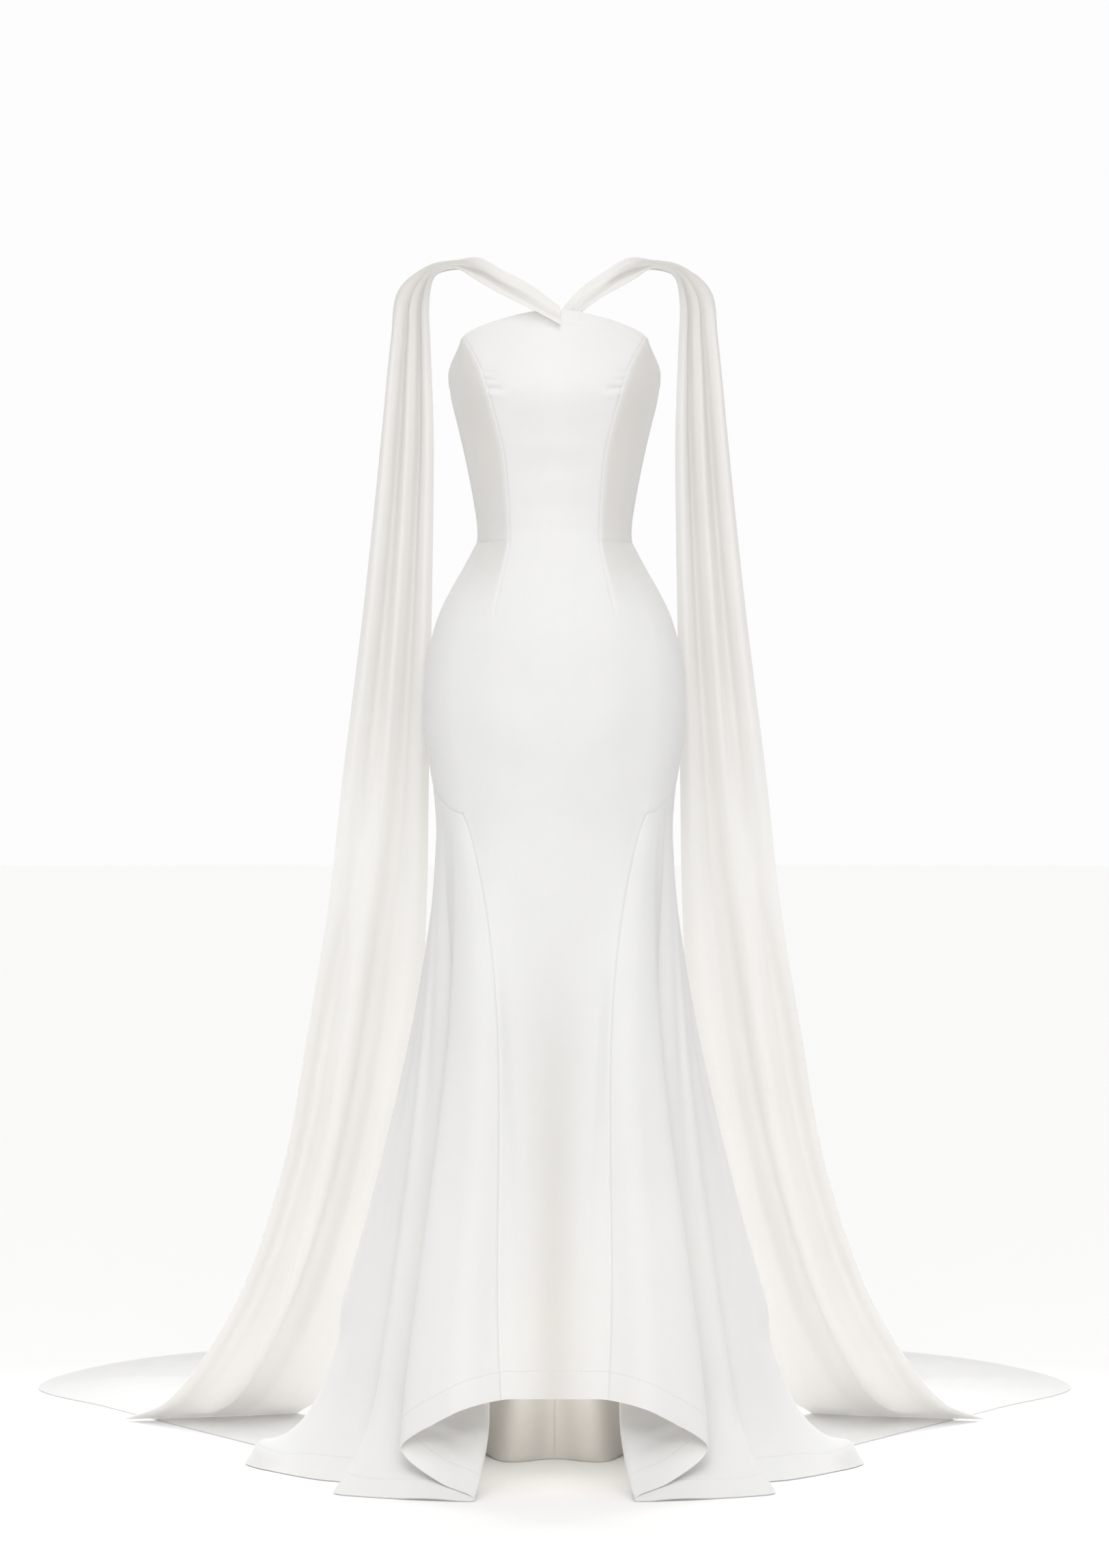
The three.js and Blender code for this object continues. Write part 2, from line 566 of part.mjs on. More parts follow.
// A point of the cape's middle surface. along runs 0 to 1 down it and over 0 to 1 across it.
function capePoint(edges, rows, along, over) {
  const low = edges.low.getPoint(along);
  const up = edges.up.getPoint(along);
  const nudge = 0.004;
  const next = edges.low.getPoint(Math.min(1, along + nudge)).add(edges.up.getPoint(Math.min(1, along + nudge)));
  const last = edges.low.getPoint(Math.max(0, along - nudge)).add(edges.up.getPoint(Math.max(0, along - nudge)));
  const run = next.sub(last).normalize();
  const chord = up.clone().sub(low).normalize();
  const out = new THREE.Vector3().crossVectors(run, chord).normalize();
  const numbered = rows.map((row, i) => ({ at: i / (rows.length - 1), pleats: row.pleats }));
  const pleats = smoothRead(numbered, 'at', 'pleats', along);
  let depth = smoothRead(CAPE_FOLDS, 'over', 'strap', over);
  for (const { from, to, into } of FOLD_CHANGES) {
    const share = THREE.MathUtils.smoothstep(along, from, to);
    depth = THREE.MathUtils.lerp(depth, smoothRead(CAPE_FOLDS, 'over', into, over), share);
  }
  const point = low.lerp(up, over).addScaledVector(out, pleats * depth);
  point.z = Math.max(point.z, rows[rows.length - 1].lowH);
  return point;
}

function cape(side, inside) {
  const rows = CAPE_ROWS.slice();
  if (inside) rows.splice(0, INSIDE_START.length, ...INSIDE_START);
  const edges = capeEdges(rows);
  const last = rows.length - 1;
  const alongs = steps(0, last * 2, last * 2).map((step) => step / (last * 2));
  const overs = steps(0, 1, CAPE_COLUMNS);
  const reach = CAPE_WALL / 2;
  const outer = [];
  const inner = [];
  const nudge = 0.01;
  for (const along of alongs) {
    const outerRow = [];
    const innerRow = [];
    for (const over of overs) {
      const middle = capePoint(edges, rows, along, over);
      const down = capePoint(edges, rows, Math.min(1, along + nudge), over)
        .sub(capePoint(edges, rows, Math.max(0, along - nudge), over));
      const across = capePoint(edges, rows, along, Math.min(1, over + nudge))
        .sub(capePoint(edges, rows, along, Math.max(0, over - nudge)));
      const out = new THREE.Vector3().crossVectors(down, across).normalize();
      outerRow.push(place(middle.clone().addScaledVector(out, reach), side));
      innerRow.push(place(middle.clone().addScaledVector(out, -reach), side));
    }
    outer.push(outerRow);
    inner.push(innerRow);
  }
  if (side < 0) return clothWall(inner, outer, () => true);
  return clothWall(outer, inner, () => true);
}

const gown = new THREE.Group();
gown.add(clothMesh('front_panel', frontPanel(), PALE_CREPE, 0.5));
for (const [word, side] of [['left', -1], ['right', 1]]) {
  gown.add(clothMesh(`bodice_side_${word}`, bodiceSide(side), PALE_CREPE, 0.5));
  gown.add(clothMesh(`bodice_back_${word}`, bodiceBack(side), PALE_CREPE, 0.5));
  gown.add(clothMesh(`skirt_godet_${word}`, skirtGodet(side), PALE_CREPE, 0.5));
  gown.add(clothMesh(`hip_back_${word}`, hipBack(side), PALE_CREPE, 0.5));
  gown.add(clothMesh(`skirt_back_${word}`, skirtBack(side), PALE_CREPE, 0.5));
  gown.add(clothMesh(`cape_${word}`, cape(side, side > 0), WARM_CHIFFON, 0.7));
}
gown.add(clothMesh('back_placket', buttonPlacket(), PALE_CREPE, 0.5));
for (let i = 0; i < BUTTON_COUNT; i += 1) {
  const number = String(i + 1).padStart(2, '0');
  gown.add(clothMesh(`back_button_${number}`, backButton(i), PALE_CREPE, 0.45));
}

export default gown;
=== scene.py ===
import math

import bpy
import bmesh
import numpy as np
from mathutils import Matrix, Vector


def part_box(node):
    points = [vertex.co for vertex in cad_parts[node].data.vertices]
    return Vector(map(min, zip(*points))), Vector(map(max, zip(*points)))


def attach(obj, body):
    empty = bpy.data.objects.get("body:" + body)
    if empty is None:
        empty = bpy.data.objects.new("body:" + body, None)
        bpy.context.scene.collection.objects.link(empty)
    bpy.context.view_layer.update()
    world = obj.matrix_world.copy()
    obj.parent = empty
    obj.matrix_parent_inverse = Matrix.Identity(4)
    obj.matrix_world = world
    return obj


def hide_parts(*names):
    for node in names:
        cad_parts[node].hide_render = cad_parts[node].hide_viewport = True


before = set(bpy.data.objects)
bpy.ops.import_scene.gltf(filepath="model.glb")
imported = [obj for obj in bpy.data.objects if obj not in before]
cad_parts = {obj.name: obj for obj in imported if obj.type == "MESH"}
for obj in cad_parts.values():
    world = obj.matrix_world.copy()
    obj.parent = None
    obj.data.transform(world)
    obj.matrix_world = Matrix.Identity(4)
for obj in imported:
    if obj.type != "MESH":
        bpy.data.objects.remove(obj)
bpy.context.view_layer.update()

bl_info = {
    "name": "High-low gown",
    "version": (1, 0, 0),
    "blender": (4, 5, 0),
    "location": "3D View > Sidebar > Gown",
    "description": "Cloth, seams, folds, closure and stage of a high-low gown with two shoulder capes",
    "category": "Object",
}

# Tables and functions work in millimetres, with heights up from the floor. Left is -X.
SHOULDER_HEIGHT = 1500
PRINCESS_TOP_HEIGHT = 1396
WAIST_HEIGHT = 1146
DART_END_HEIGHT = 1047
THIGH_FRONT_HEIGHT = 815
THIGH_SIDE_HEIGHT = 850
# Degrees round from the centre front to the side seam, and how square the body's section is
SIDE_ANGLE = 92
SECTION_POWER = 2.15
CUP = {"lift": 5, "height": 1335, "size": 45, "angle": 30}
# How late the skirt flares, where its foot begins to kick out, and what makes a bend's peak 1
FRONT_FLARE_POWER = 1.2
SIDE_FLARE_POWER = 1.55
KICK_START = 0.86
BOW_SCALE = 27 / 4
# Places round the gown, counted in rows of LINES
PRINCESS, GODET, SIDE, TRAIN_START, LAST_LINE = 1, 2, 10, 13, 19
PLACKET_EDGE, PLACKET_CREASE = 18.7, 18.85
# Where the darts end, counted down the gown as in line_point
DART_END = 1 + (WAIST_HEIGHT - DART_END_HEIGHT) / (WAIST_HEIGHT - THIGH_FRONT_HEIGHT)
SEAM_DEPTH = 0.6
SEAM_WIDTH = 1.7
DART_DEPTH = 0.8
FACING_DEPTH = 19.0
HEM_DEPTH = 33.0
# Height of the cape's cloth where it lies on the train
FOOT = 2.3
BUTTONS = 12
BUTTON_STAND = 0.0008
LOOP_STAND = 0.0011
# Painted shade: how much darker the colour is painted at each place, 0 to 1
CENTRE_PAINTED_SHADE = 0.55
SIDE_PAINTED_SHADE, SIDE_PAINTED_SHADE_DROP = 0.62, 0.34
GODET_PAINTED_SHADE = 0.1
CAPE_SHOULDER_PAINTED_SHADE = 0.3
CAPE_FOLD_PAINTED_SHADE, CAPE_FOLD_PAINTED_SHADE_DROP = 0.22, 0.15
# Axes of a grid of points, a distance past all stitching, and a flip from right to left
DOWN, ROUND = 0, 1
FAR = 1000.0
MIRROR = np.array([-1, 1, 1])
# The photograph's lens, measured in its own pixels
LENS_PIXELS = 7143
PHOTO_HEIGHT_PIXELS = 2296
SENSOR = 36


def columns(names, *rows):
    """A short table with named columns."""
    return {name: np.array(values, float) for name, values in zip(names.split(), zip(*rows))}


BODY = columns(
    "height half_width front back",
    (760, 143.5, 98, 111), (794, 143.5, 99, 114), (841, 148, 102, 121), (899, 157, 107, 131),
    (950, 160, 109, 136), (1000, 157, 107, 132), (1032, 150, 104, 122), (1062, 140, 99, 111),
    (1090, 126, 94, 101), (1118, 110, 88, 91), (1146, 96, 84, 83), (1161, 94, 83, 82),
    (1193, 98, 87, 84), (1250, 109, 101, 92), (1293, 119, 115, 97), (1322, 126, 123, 99),
    (1353, 129.5, 122, 98), (1382, 125, 114, 96), (1401, 119, 107, 94), (1430, 106, 96, 90),
)
PRINCESS_LINE = columns(
    "height offset",
    (760, 61), (950, 72), (1047, 74), (1078, 68.5), (1142, 55), (1175, 54.5), (1213, 57),
    (1252, 61), (1286, 69), (1329, 81), (1354, 89), (1373, 98), (1396, 110),
)
TOP_EDGE = columns(
    "angle height",
    (0, 1424), (20, 1421), (40, 1414), (66, 1396), (74, 1385), (80, 1373), (86, 1361.5), (92, 1351),
    (130, 1338), (180, 1330),
)
# Lines down the gown from the centre front to the centre back. share runs from 0 at the princess line
# over 1 at the side to 2 at the back. swing is where the skirt hangs at its hem and foot where it ends.
LINES = columns(
    "share swing_x swing_y foot_x foot_y foot bend_x bend_y",
    (-1, 0, -186, 0, -186, 117, 0, 0),
    (0, 33, -190, 33, -190, 117, 0, 0),
    (0.364, 63.5, -197, 63.5, -197, 117, -27, -22),
    (0.455, 124, -213, 124, -213, 101, -20, -22),
    (0.53, 183, -183, 181, -183, 56, -14, -14),
    (0.59, 130, -160, 137, -200, 20, -8, -7),
    (0.644, 70, -155, 99, -217, 6, 0, 0),
    (0.667, 70, -143, 95, -222, 0.8, 0, 0),
    (0.742, 165, -126, 182, -204, 0.8, 0, 0),
    (0.848, 232, -105, 265, -158, 0.8, 0, 0),
    (1, 222, -42, 228, -90, 0.8, 0, 0),
    (1.08, 275, -4, 296, -36, 0.8, 0, 0),
    (1.17, 330, 62, 387, 103, 0.8, 0, 0),
    (1.27, 296, 128, 333, 183, 0.8, 0, 0),
    (1.38, 262, 182, 300, 245, 0.8, 0, 0),
    (1.5, 205, 160, 225, 205, 0.8, 0, 0),
    (1.62, 165, 195, 180, 255, 0.8, 0, 0),
    (1.76, 105, 160, 108, 205, 0.8, 0, 0),
    (1.88, 50, 105, 58, 115, 0.8, 0, 0),
    (2, 0, 136, 0, 145, 0.8, 0, 0),
)
# Where each line of the train ends on the floor, from the notch to the centre back
TRAIN = columns(
    "end_x end_y ripple",
    (333, 183, 0), (470, 415, 0), (606, 645, 0), (727, 868, 0), (600, 1215, 8), (330, 1400, 0),
    (0, 1450, 14),
)
# The cape from its tucked end over the shoulder to the floor, inner or lower edge to outer edge
CAPE_ROWS = columns(
    "low_x low_y low_h up_x up_y up_h pleats",
    (-7, -113, 1404, -7, -102, 1427, 1), (29.7, -106, 1424, 29.7, -90, 1455, 2),
    (63.8, -86, 1443, 63.8, -70, 1475, 3), (94, -55, 1463, 93, -34, 1494, 3.5),
    (121, -30, 1479, 121, 5, 1495, 3.5), (146, -14, 1472, 160, 20, 1488, 4),
    (153, -3, 1442, 193, 20, 1459, 5), (152, 6, 1385, 202, 24, 1398, 7),
    (149, 20, 1285, 213, 34, 1290, 9), (150, 36, 1180, 224, 46, 1184, 10),
    (153, 58, 1040, 240, 64, 1044, 11), (157, 92, 869, 263, 92, 869, 12),
    (161, 132, 700, 284, 122, 696, 13), (172, 180, 540, 311, 156, 540, 15),
    (202, 236, 380, 343, 210, 375, 18), (240, 318, 225, 398, 284, 212, 19),
    (278, 410, 110, 457, 364, 106, 16), (312, 494, 36, 515, 442, 34, 9),
    (347, 571, 2.9, 574, 510, 2.9, 4),
)
INSIDE_START = columns(
    "low_x low_y low_h up_x up_y up_h pleats",
    (16, -95, 1403, 4, -88, 1419, 0.6), (33, -86, 1422, 29.7, -76, 1450, 1),
)
# Folds across the cape, from the inner or lower edge (over 0) to the outer one (over 1), on the
# strap, over the shoulder, and on the upper and lower part of the hanging panel
CAPE_FOLDS = columns(
    "over strap shoulder upper lower",
    (0, 1, 0.3, 0.2, 0.1), (0.1, 0.7, 0.9, 0.9, 0.5), (0.2, 0, 0.3, 0.2, 0.9), (0.3, -0.8, -0.9, -1, 0.3),
    (0.4, -1.2, -0.2, -0.1, -0.8), (0.5, -0.7, 0.7, 0.8, -0.7), (0.6, 0.2, -0.6, -0.3, 0.8),
    (0.7, 0.5, -0.2, -0.9, 0.9), (0.8, 0.5, 0.7, 0.3, -0.5), (0.9, 0.2, 0.3, 0.8, -0.2),
    (1, -0.4, -0.3, -0.1, 0.2),
)
FOLD_CHANGES = ((0.16, 0.26, "shoulder"), (0.32, 0.42, "upper"), (0.55, 0.74, "lower"))


def smooth_read(table, key, value, at):
    """A smooth value out of a table with rising keys."""
    keys, values = table[key], table[value]
    at = np.clip(np.asarray(at, float), keys[0], keys[-1])
    ends = np.r_[0, np.arange(len(keys) - 1)], np.r_[np.arange(1, len(keys)), len(keys) - 1]
    slope = (values[ends[1]] - values[ends[0]]) / (keys[ends[1]] - keys[ends[0]])
    i = np.clip(np.searchsorted(keys, at, "right") - 1, 0, len(keys) - 2)
    span = keys[i + 1] - keys[i]
    t = (at - keys[i]) / span
    return (
        (2 * t**3 - 3 * t**2 + 1) * values[i]
        + (t**3 - 2 * t**2 + t) * span * slope[i]
        + (3 * t**2 - 2 * t**3) * values[i + 1]
        + (t**3 - t**2) * span * slope[i + 1]
    )


def smoothstep(low, high, x):
    """A soft change from 0 at low to 1 at high."""
    t = np.clip((np.asarray(x, float) - low) / (high - low), 0, 1)
    return t * t * (3 - 2 * t)


def hump(x, width):
    """A soft bump of height 1 at x 0."""
    return np.exp(-((np.asarray(x, float) / width) ** 2))


def line_angle(share, height):
    """Degrees round the body of a line of LINES."""
    if share < 0:
        return np.zeros_like(height)
    half_width = smooth_read(BODY, "height", "half_width", height)
    ratio = np.minimum(1, smooth_read(PRINCESS_LINE, "height", "offset", height) / half_width)
    princess = np.degrees(np.arcsin(ratio ** (SECTION_POWER / 2)))
    if share <= 1:
        return princess + share * (SIDE_ANGLE - princess)
    return np.full_like(height, SIDE_ANGLE + (share - 1) * (180 - SIDE_ANGLE))


def squared(value):
    """A sine or cosine, drawn out to the body's squarish section."""
    return np.sign(value) * np.abs(value) ** (2 / SECTION_POWER)


def body_point(height, angle):
    """Points of the fitted part, with the soft lift of the cups."""
    turn = np.radians(angle)
    half_width = smooth_read(BODY, "height", "half_width", height)
    front = smooth_read(BODY, "height", "front", height)
    back = smooth_read(BODY, "height", "back", height)
    depth = np.where(angle <= 90, front, back)
    above = ((height - CUP["height"]) / CUP["size"]) ** 2
    beside = 2 * ((angle - CUP["angle"]) / CUP["angle"]) ** 2
    cup = CUP["lift"] * np.exp(-above - beside)
    return np.stack([squared(np.sin(turn)) * half_width, -squared(np.cos(turn)) * (depth + cup), height], -1)


def line_point(index, down):
    """One line of the gown. down runs 0 top edge, 1 waist, 2 thigh, 3 hem or floor, 4 end of the train."""
    share, swing_x, swing_y, foot_x, foot_y, foot, bend_x, bend_y = (LINES[k][index] for k in LINES)
    top_angle = 0.0 if index == 0 else float(line_angle(share, np.array([PRINCESS_TOP_HEIGHT], float))[0])
    top = float(smooth_read(TOP_EDGE, "angle", "height", top_angle))
    reach = float(smoothstep(LINES["share"][GODET], 1, share))
    thigh = THIGH_FRONT_HEIGHT + reach * (THIGH_SIDE_HEIGHT - THIGH_FRONT_HEIGHT)
    to_waist = top + (WAIST_HEIGHT - top) * down
    to_thigh = WAIST_HEIGHT + (thigh - WAIST_HEIGHT) * (down - 1)
    height = np.where(down <= 1, to_waist, to_thigh)
    t = np.clip(down - 2, 0, 1)
    height = np.where(down > 2, thigh + (foot - thigh) * t, height)
    point = body_point(height, line_angle(share, height))
    flare = t ** (FRONT_FLARE_POWER + reach * (SIDE_FLARE_POWER - FRONT_FLARE_POWER))
    kick = np.maximum(0, (t - KICK_START) / (1 - KICK_START)) ** 2
    bow = BOW_SCALE * t * (1 - t) ** 2
    point[..., 0] += (swing_x - point[..., 0]) * flare + bend_x * bow + (foot_x - swing_x) * kick
    point[..., 1] += (swing_y - point[..., 1]) * flare + bend_y * bow + (foot_y - swing_y) * kick
    if index >= TRAIN_START:
        u = np.clip(down - 3, 0, 1)
        end_x, end_y, ripple = (TRAIN[k][index - TRAIN_START] for k in TRAIN)
        point[..., 0] += (end_x - foot_x) * u
        point[..., 1] += (end_y - foot_y) * u
        point[..., 2] += ripple * np.sin(math.pi * u**3) ** 2
    return point


def root_gap(a, b):
    """The square root of the distance between points."""
    return np.maximum(np.sum((a - b) ** 2, -1), 1e-12) ** 0.25


def curve_between(p0, p1, p2, p3, w):
    """A point between p1 and p2 on a centripetal curve through four points."""
    d0, d1, d2 = root_gap(p0, p1), root_gap(p1, p2), root_gap(p2, p3)
    d1 = np.where(d1 < 1e-4, 1, d1)
    d0 = np.where(d0 < 1e-4, d1, d0)
    d2 = np.where(d2 < 1e-4, d1, d2)
    d0, d1, d2, w = d0[..., None], d1[..., None], d2[..., None], w[..., None]
    t1 = ((p1 - p0) / d0 - (p2 - p0) / (d0 + d1) + (p2 - p1) / d1) * d1
    t2 = ((p2 - p1) / d1 - (p3 - p1) / (d1 + d2) + (p3 - p2) / d2) * d1
    return p1 + t1 * w + (-3 * p1 + 3 * p2 - 2 * t1 - t2) * w**2 + (2 * p1 - 2 * p2 + t1 + t2) * w**3


def gown_grid(rounds, downs):
    """Points of the gown's middle surface, one row for each down and one column for each round."""
    rounds = np.asarray(rounds, float)

    def part(first, level, across):
        lines = np.stack([line_point(i, level) for i in range(first, LAST_LINE + 1)], 1)
        before = lines[:, 1] * MIRROR if first == 0 else 2 * lines[:, 0] - lines[:, 1]
        lines = np.concatenate([before[:, None], lines, (lines[:, -2] * MIRROR)[:, None]], 1)
        at = across - first
        i = np.clip(np.floor(at).astype(int), 0, LAST_LINE - first - 1)
        w = np.broadcast_to(at - i, (len(level), len(across)))
        return curve_between(lines[:, i], lines[:, i + 1], lines[:, i + 2], lines[:, i + 3], w)

    downs = np.asarray(downs, float)
    grid = part(0, np.minimum(downs, 3), rounds)
    low, back = downs > 3, rounds > TRAIN_START
    if low.any() and back.any():
        grid[np.ix_(low, back)] = part(TRAIN_START, downs[low], rounds[back])
    return grid


def unit(v):
    """Directions of length 1."""
    return v / np.maximum(np.linalg.norm(v, axis=-1, keepdims=True), 1e-9)


def gown_out(rounds, downs):
    """Directions out of the gown at each grid point."""
    rounds, downs = np.asarray(rounds, float), np.asarray(downs, float)
    limit = 4 if downs.max() > 3 else 3
    step_round, step_down = 0.04, 0.01
    after, before = np.minimum(rounds + step_round, LAST_LINE), np.maximum(rounds - step_round, 0)
    below, above = np.minimum(downs + step_down, limit), np.maximum(downs - step_down, 0)
    across = gown_grid(after, downs) - gown_grid(before, downs)
    along = gown_grid(rounds, below) - gown_grid(rounds, above)
    for at, sign in ((0, 1), (LAST_LINE, -1)):
        middle = rounds == at
        across[:, middle] = (sign, 0, 0)
        along[:, middle, 0] = 0
    return unit(np.cross(unit(along), unit(across)))


# Creases of the gown in a front view, x measured outwards: each runs from (p0, q0) to (p1, q1) and
# stands lift above the cloth, or below it where lift is negative. It fades towards both ends.
FRONT_CREASES = columns(
    "p0 q0 p1 q1 lift width",
    (87, 1349, 72, 1346, -1.8, 3.2), (85, 1340.5, 70, 1338, -2, 3.2), (82, 1330, 62, 1327, -2.6, 4),
    (86, 1344.5, 72, 1342, 1.1, 2.8), (84, 1335.5, 68, 1333, 1.3, 2.8), (80, 1323, 56, 1319, 1.8, 4),
    (76, 1080, 98, 1068, -0.9, 5), (74, 1070, 92, 1054, 0.7, 5), (70, 1084, 56, 1074, -0.5, 5),
    (96, 1146, 70, 1140, -1, 6), (96, 1132, 74, 1122, 0.8, 7), (92, 1158, 70, 1162, 0.6, 7),
    (20, 1276, 62, 1284, -1, 16), (-20, 1238, 52, 1230, -1.1, 14), (-30, 1256, 50, 1262, 0.8, 10),
    (0, 1192, 50, 1182, -0.6, 16),
    (30, 905, 100, 940, 1.4, 26), (0, 955, 70, 985, -1.2, 30), (40, 870, 120, 890, -1, 24),
    (156, 89, 92, 66, -2.2, 4), (150, 76, 96, 54, 1.8, 5), (128, 60, 100, 30, -1.5, 5),
    (104, 812, 92, 760, -1.6, 9), (112, 824, 124, 770, 1.2, 10), (70, 800, 30, 770, -0.8, 22),
)
BACK_CREASES = columns(
    "p0 q0 p1 q1 lift width",
    (20, 1168, 78, 1176, -1, 6), (16, 1152, 70, 1150, 0.9, 6), (20, 1134, 84, 1118, -1.2, 8),
    (30, 1100, 100, 1068, 0.9, 12), (24, 1010, 90, 985, -1, 22), (30, 905, 110, 940, 1.3, 24),
    (20, 868, 110, 880, -1.4, 16), (70, 1230, 100, 1250, -0.9, 12), (40, 1290, 90, 1300, 0.8, 14),
)
# The side hem in a front view: the ridge comes down inside the lobe that spreads on the floor
SIDE_CREASES = columns(
    "p0 q0 p1 q1 lift width",
    (284, 190, 348, 30, -17, 26), (386, 40, 350, 10, 12, 18), (318, 300, 300, 110, -4, 12),
)
# Ripples of the train on the floor, seen from above
TRAIN_CREASES = columns(
    "p0 q0 p1 q1 lift width",
    (650, 905, 455, 850, 9, 20), (520, 1060, 360, 1230, 10, 30), (310, 1020, 190, 1330, 9, 28),
    (130, 700, 60, 1120, 12, 34), (500, 720, 440, 1000, 10, 26),
    (250, 560, 230, 900, 9, 30), (600, 1100, 500, 1180, 7, 18), (0, 1280, 120, 1360, 8, 26),
)
# Long soft folds down the skirt: the line they follow at the thigh and at the hem
LONG_FOLDS = columns(
    "thigh hem start end lift width",
    (0, 0, 2.15, 3.1, -4, 0.75), (1.25, 1.3, 2.3, 3.1, 1.2, 0.35), (2.5, 2.55, 2.2, 3.1, 2, 0.3),
    (3.3, 3.2, 2.3, 3.1, -2.5, 0.3), (3.8, 3.9, 2.3, 3.1, 3, 0.25), (7.5, 7.6, 2.2, 3.1, 3.5, 0.3),
    (8.5, 8.45, 2.1, 3.1, -4, 0.3), (9.3, 9.4, 2.2, 3.1, -2.5, 0.3), (11.45, 11.6, 2.1, 3.1, -4, 0.3),
    (12.4, 12.5, 2.2, 3.1, 3, 0.3), (14.5, 14.4, 2.1, 3.4, 4, 0.3), (15.5, 15.6, 2.1, 3.5, -5, 0.35),
    (17.3, 17.2, 2, 3.5, 5, 0.4), (18.5, 18.4, 2.2, 3.6, -3, 0.3),
)
# Small folds of the cape: along it (0 to 1) and over it (0 to 1) at both ends
CAPE_CREASES = columns(
    "a0 o0 a1 o1 lift width",
    (0.02, 0.25, 0.2, 0.35, -1, 0.05), (0.02, 0.6, 0.22, 0.5, 0.8, 0.05),
    (0.05, 0.8, 0.24, 0.85, -0.7, 0.05), (0.22, 0.5, 0.45, 0.45, -1.5, 0.04),
    (0.24, 0.15, 0.42, 0.2, 1.2, 0.04), (0.27, 0.85, 0.5, 0.75, -1.2, 0.04),
    (0.5, 0.12, 0.8, 0.1, 1.2, 0.05), (0.5, 0.55, 0.85, 0.52, 1.5, 0.04), (0.6, 0.9, 0.95, 0.85, -1.5, 0.04),
    (0.7, 0.3, 0.97, 0.25, -2, 0.05), (0.8, 0.7, 1, 0.66, 3, 0.05),
)


def crease_lift(p, q, table):
    """Total lift of a table's creases at the places (p, q)."""
    lift = np.zeros(np.shape(p))
    for p0, q0, p1, q1, rise, width in zip(*table.values()):
        run = np.array([p1 - p0, q1 - q0])
        length = float(np.hypot(*run))
        run = run / length
        along = ((p - p0) * run[0] + (q - q0) * run[1]) / length
        off = (p - p0) * -run[1] + (q - q0) * run[0]
        lift += rise * hump(off, width) * smoothstep(-0.15, 0.2, along) * (1 - smoothstep(0.55, 1.15, along))
    return lift


def fold_lift(rounds, downs):
    """Total lift of the long folds at grid places."""
    lift = np.zeros(np.broadcast(rounds, downs).shape)
    for thigh, hem, start, end, rise, width in zip(*LONG_FOLDS.values()):
        line = thigh + (hem - thigh) * np.clip(downs - 2, 0, 1)
        fade = smoothstep(start, start + 0.35, downs) * (1 - smoothstep(end - 0.1, end + 0.2, downs))
        lift += rise * hump(rounds - line, width) * fade
    return lift


def lengths(grid, axis, from_end=False):
    """Distance in millimetres of each grid point from the first line along an axis, or the last."""
    total = np.cumsum(np.linalg.norm(np.diff(grid, axis=axis), axis=-1), axis=axis)
    total = np.pad(total, [(1, 0), (0, 0)] if axis == 0 else [(0, 0), (1, 0)])
    if from_end:
        total = (total[-1:] if axis == 0 else total[:, -1:]) - total
    return total


def seam_roll(distance):
    """How far the cloth turns in beside a seam."""
    return -SEAM_DEPTH * hump(distance, SEAM_WIDTH)


def stretch(rounds, downs, seams=(), lift=None, hem=False, tone=None):
    """One stretch of the gown: its points, uv, distance from the hem and painted shade. seams are the edges
    that are sewn, as (axis, from_end). lift(grid, rounds, downs) adds what else shapes it, and the last
    argument, called with (rounds, downs), says where shade is painted into the colour, 0 to 1."""
    grid = gown_grid(rounds, downs)
    out = gown_out(rounds, downs)
    across, down = np.meshgrid(rounds, downs)
    rise = fold_lift(across, down)
    for axis, from_end in seams:
        rise = rise + seam_roll(lengths(grid, axis, from_end))
    if lift is not None:
        rise = rise + lift(grid, across, down)
    u, v = lengths(grid, ROUND), lengths(grid, DOWN)
    uv = np.stack([u + 50 * rounds[0], np.broadcast_to(v.mean(axis=1, keepdims=True), u.shape)], -1)
    edge = lengths(grid, DOWN, True) if hem else np.full(u.shape, FAR)
    shade = np.zeros(u.shape) if tone is None else tone(across, down)
    return {"points": grid + out * rise[..., None], "uv": uv, "hem": edge, "tone": shade}


def mirrored(part):
    """The same stretch on the other side."""
    return {
        "points": (part["points"] * MIRROR)[:, ::-1],
        "uv": (part["uv"] * (-1, 1))[:, ::-1],
        "hem": part["hem"][:, ::-1],
        "tone": part["tone"][:, ::-1],
        "keep": part["keep"][:, ::-1] if "keep" in part else None,
    }


def deselect():
    """Deselects every object."""
    for item in bpy.context.selected_objects:
        item.select_set(False)


def select_only(piece):
    """Selects one object and makes it the active one."""
    deselect()
    piece.select_set(True)
    bpy.context.view_layer.objects.active = piece


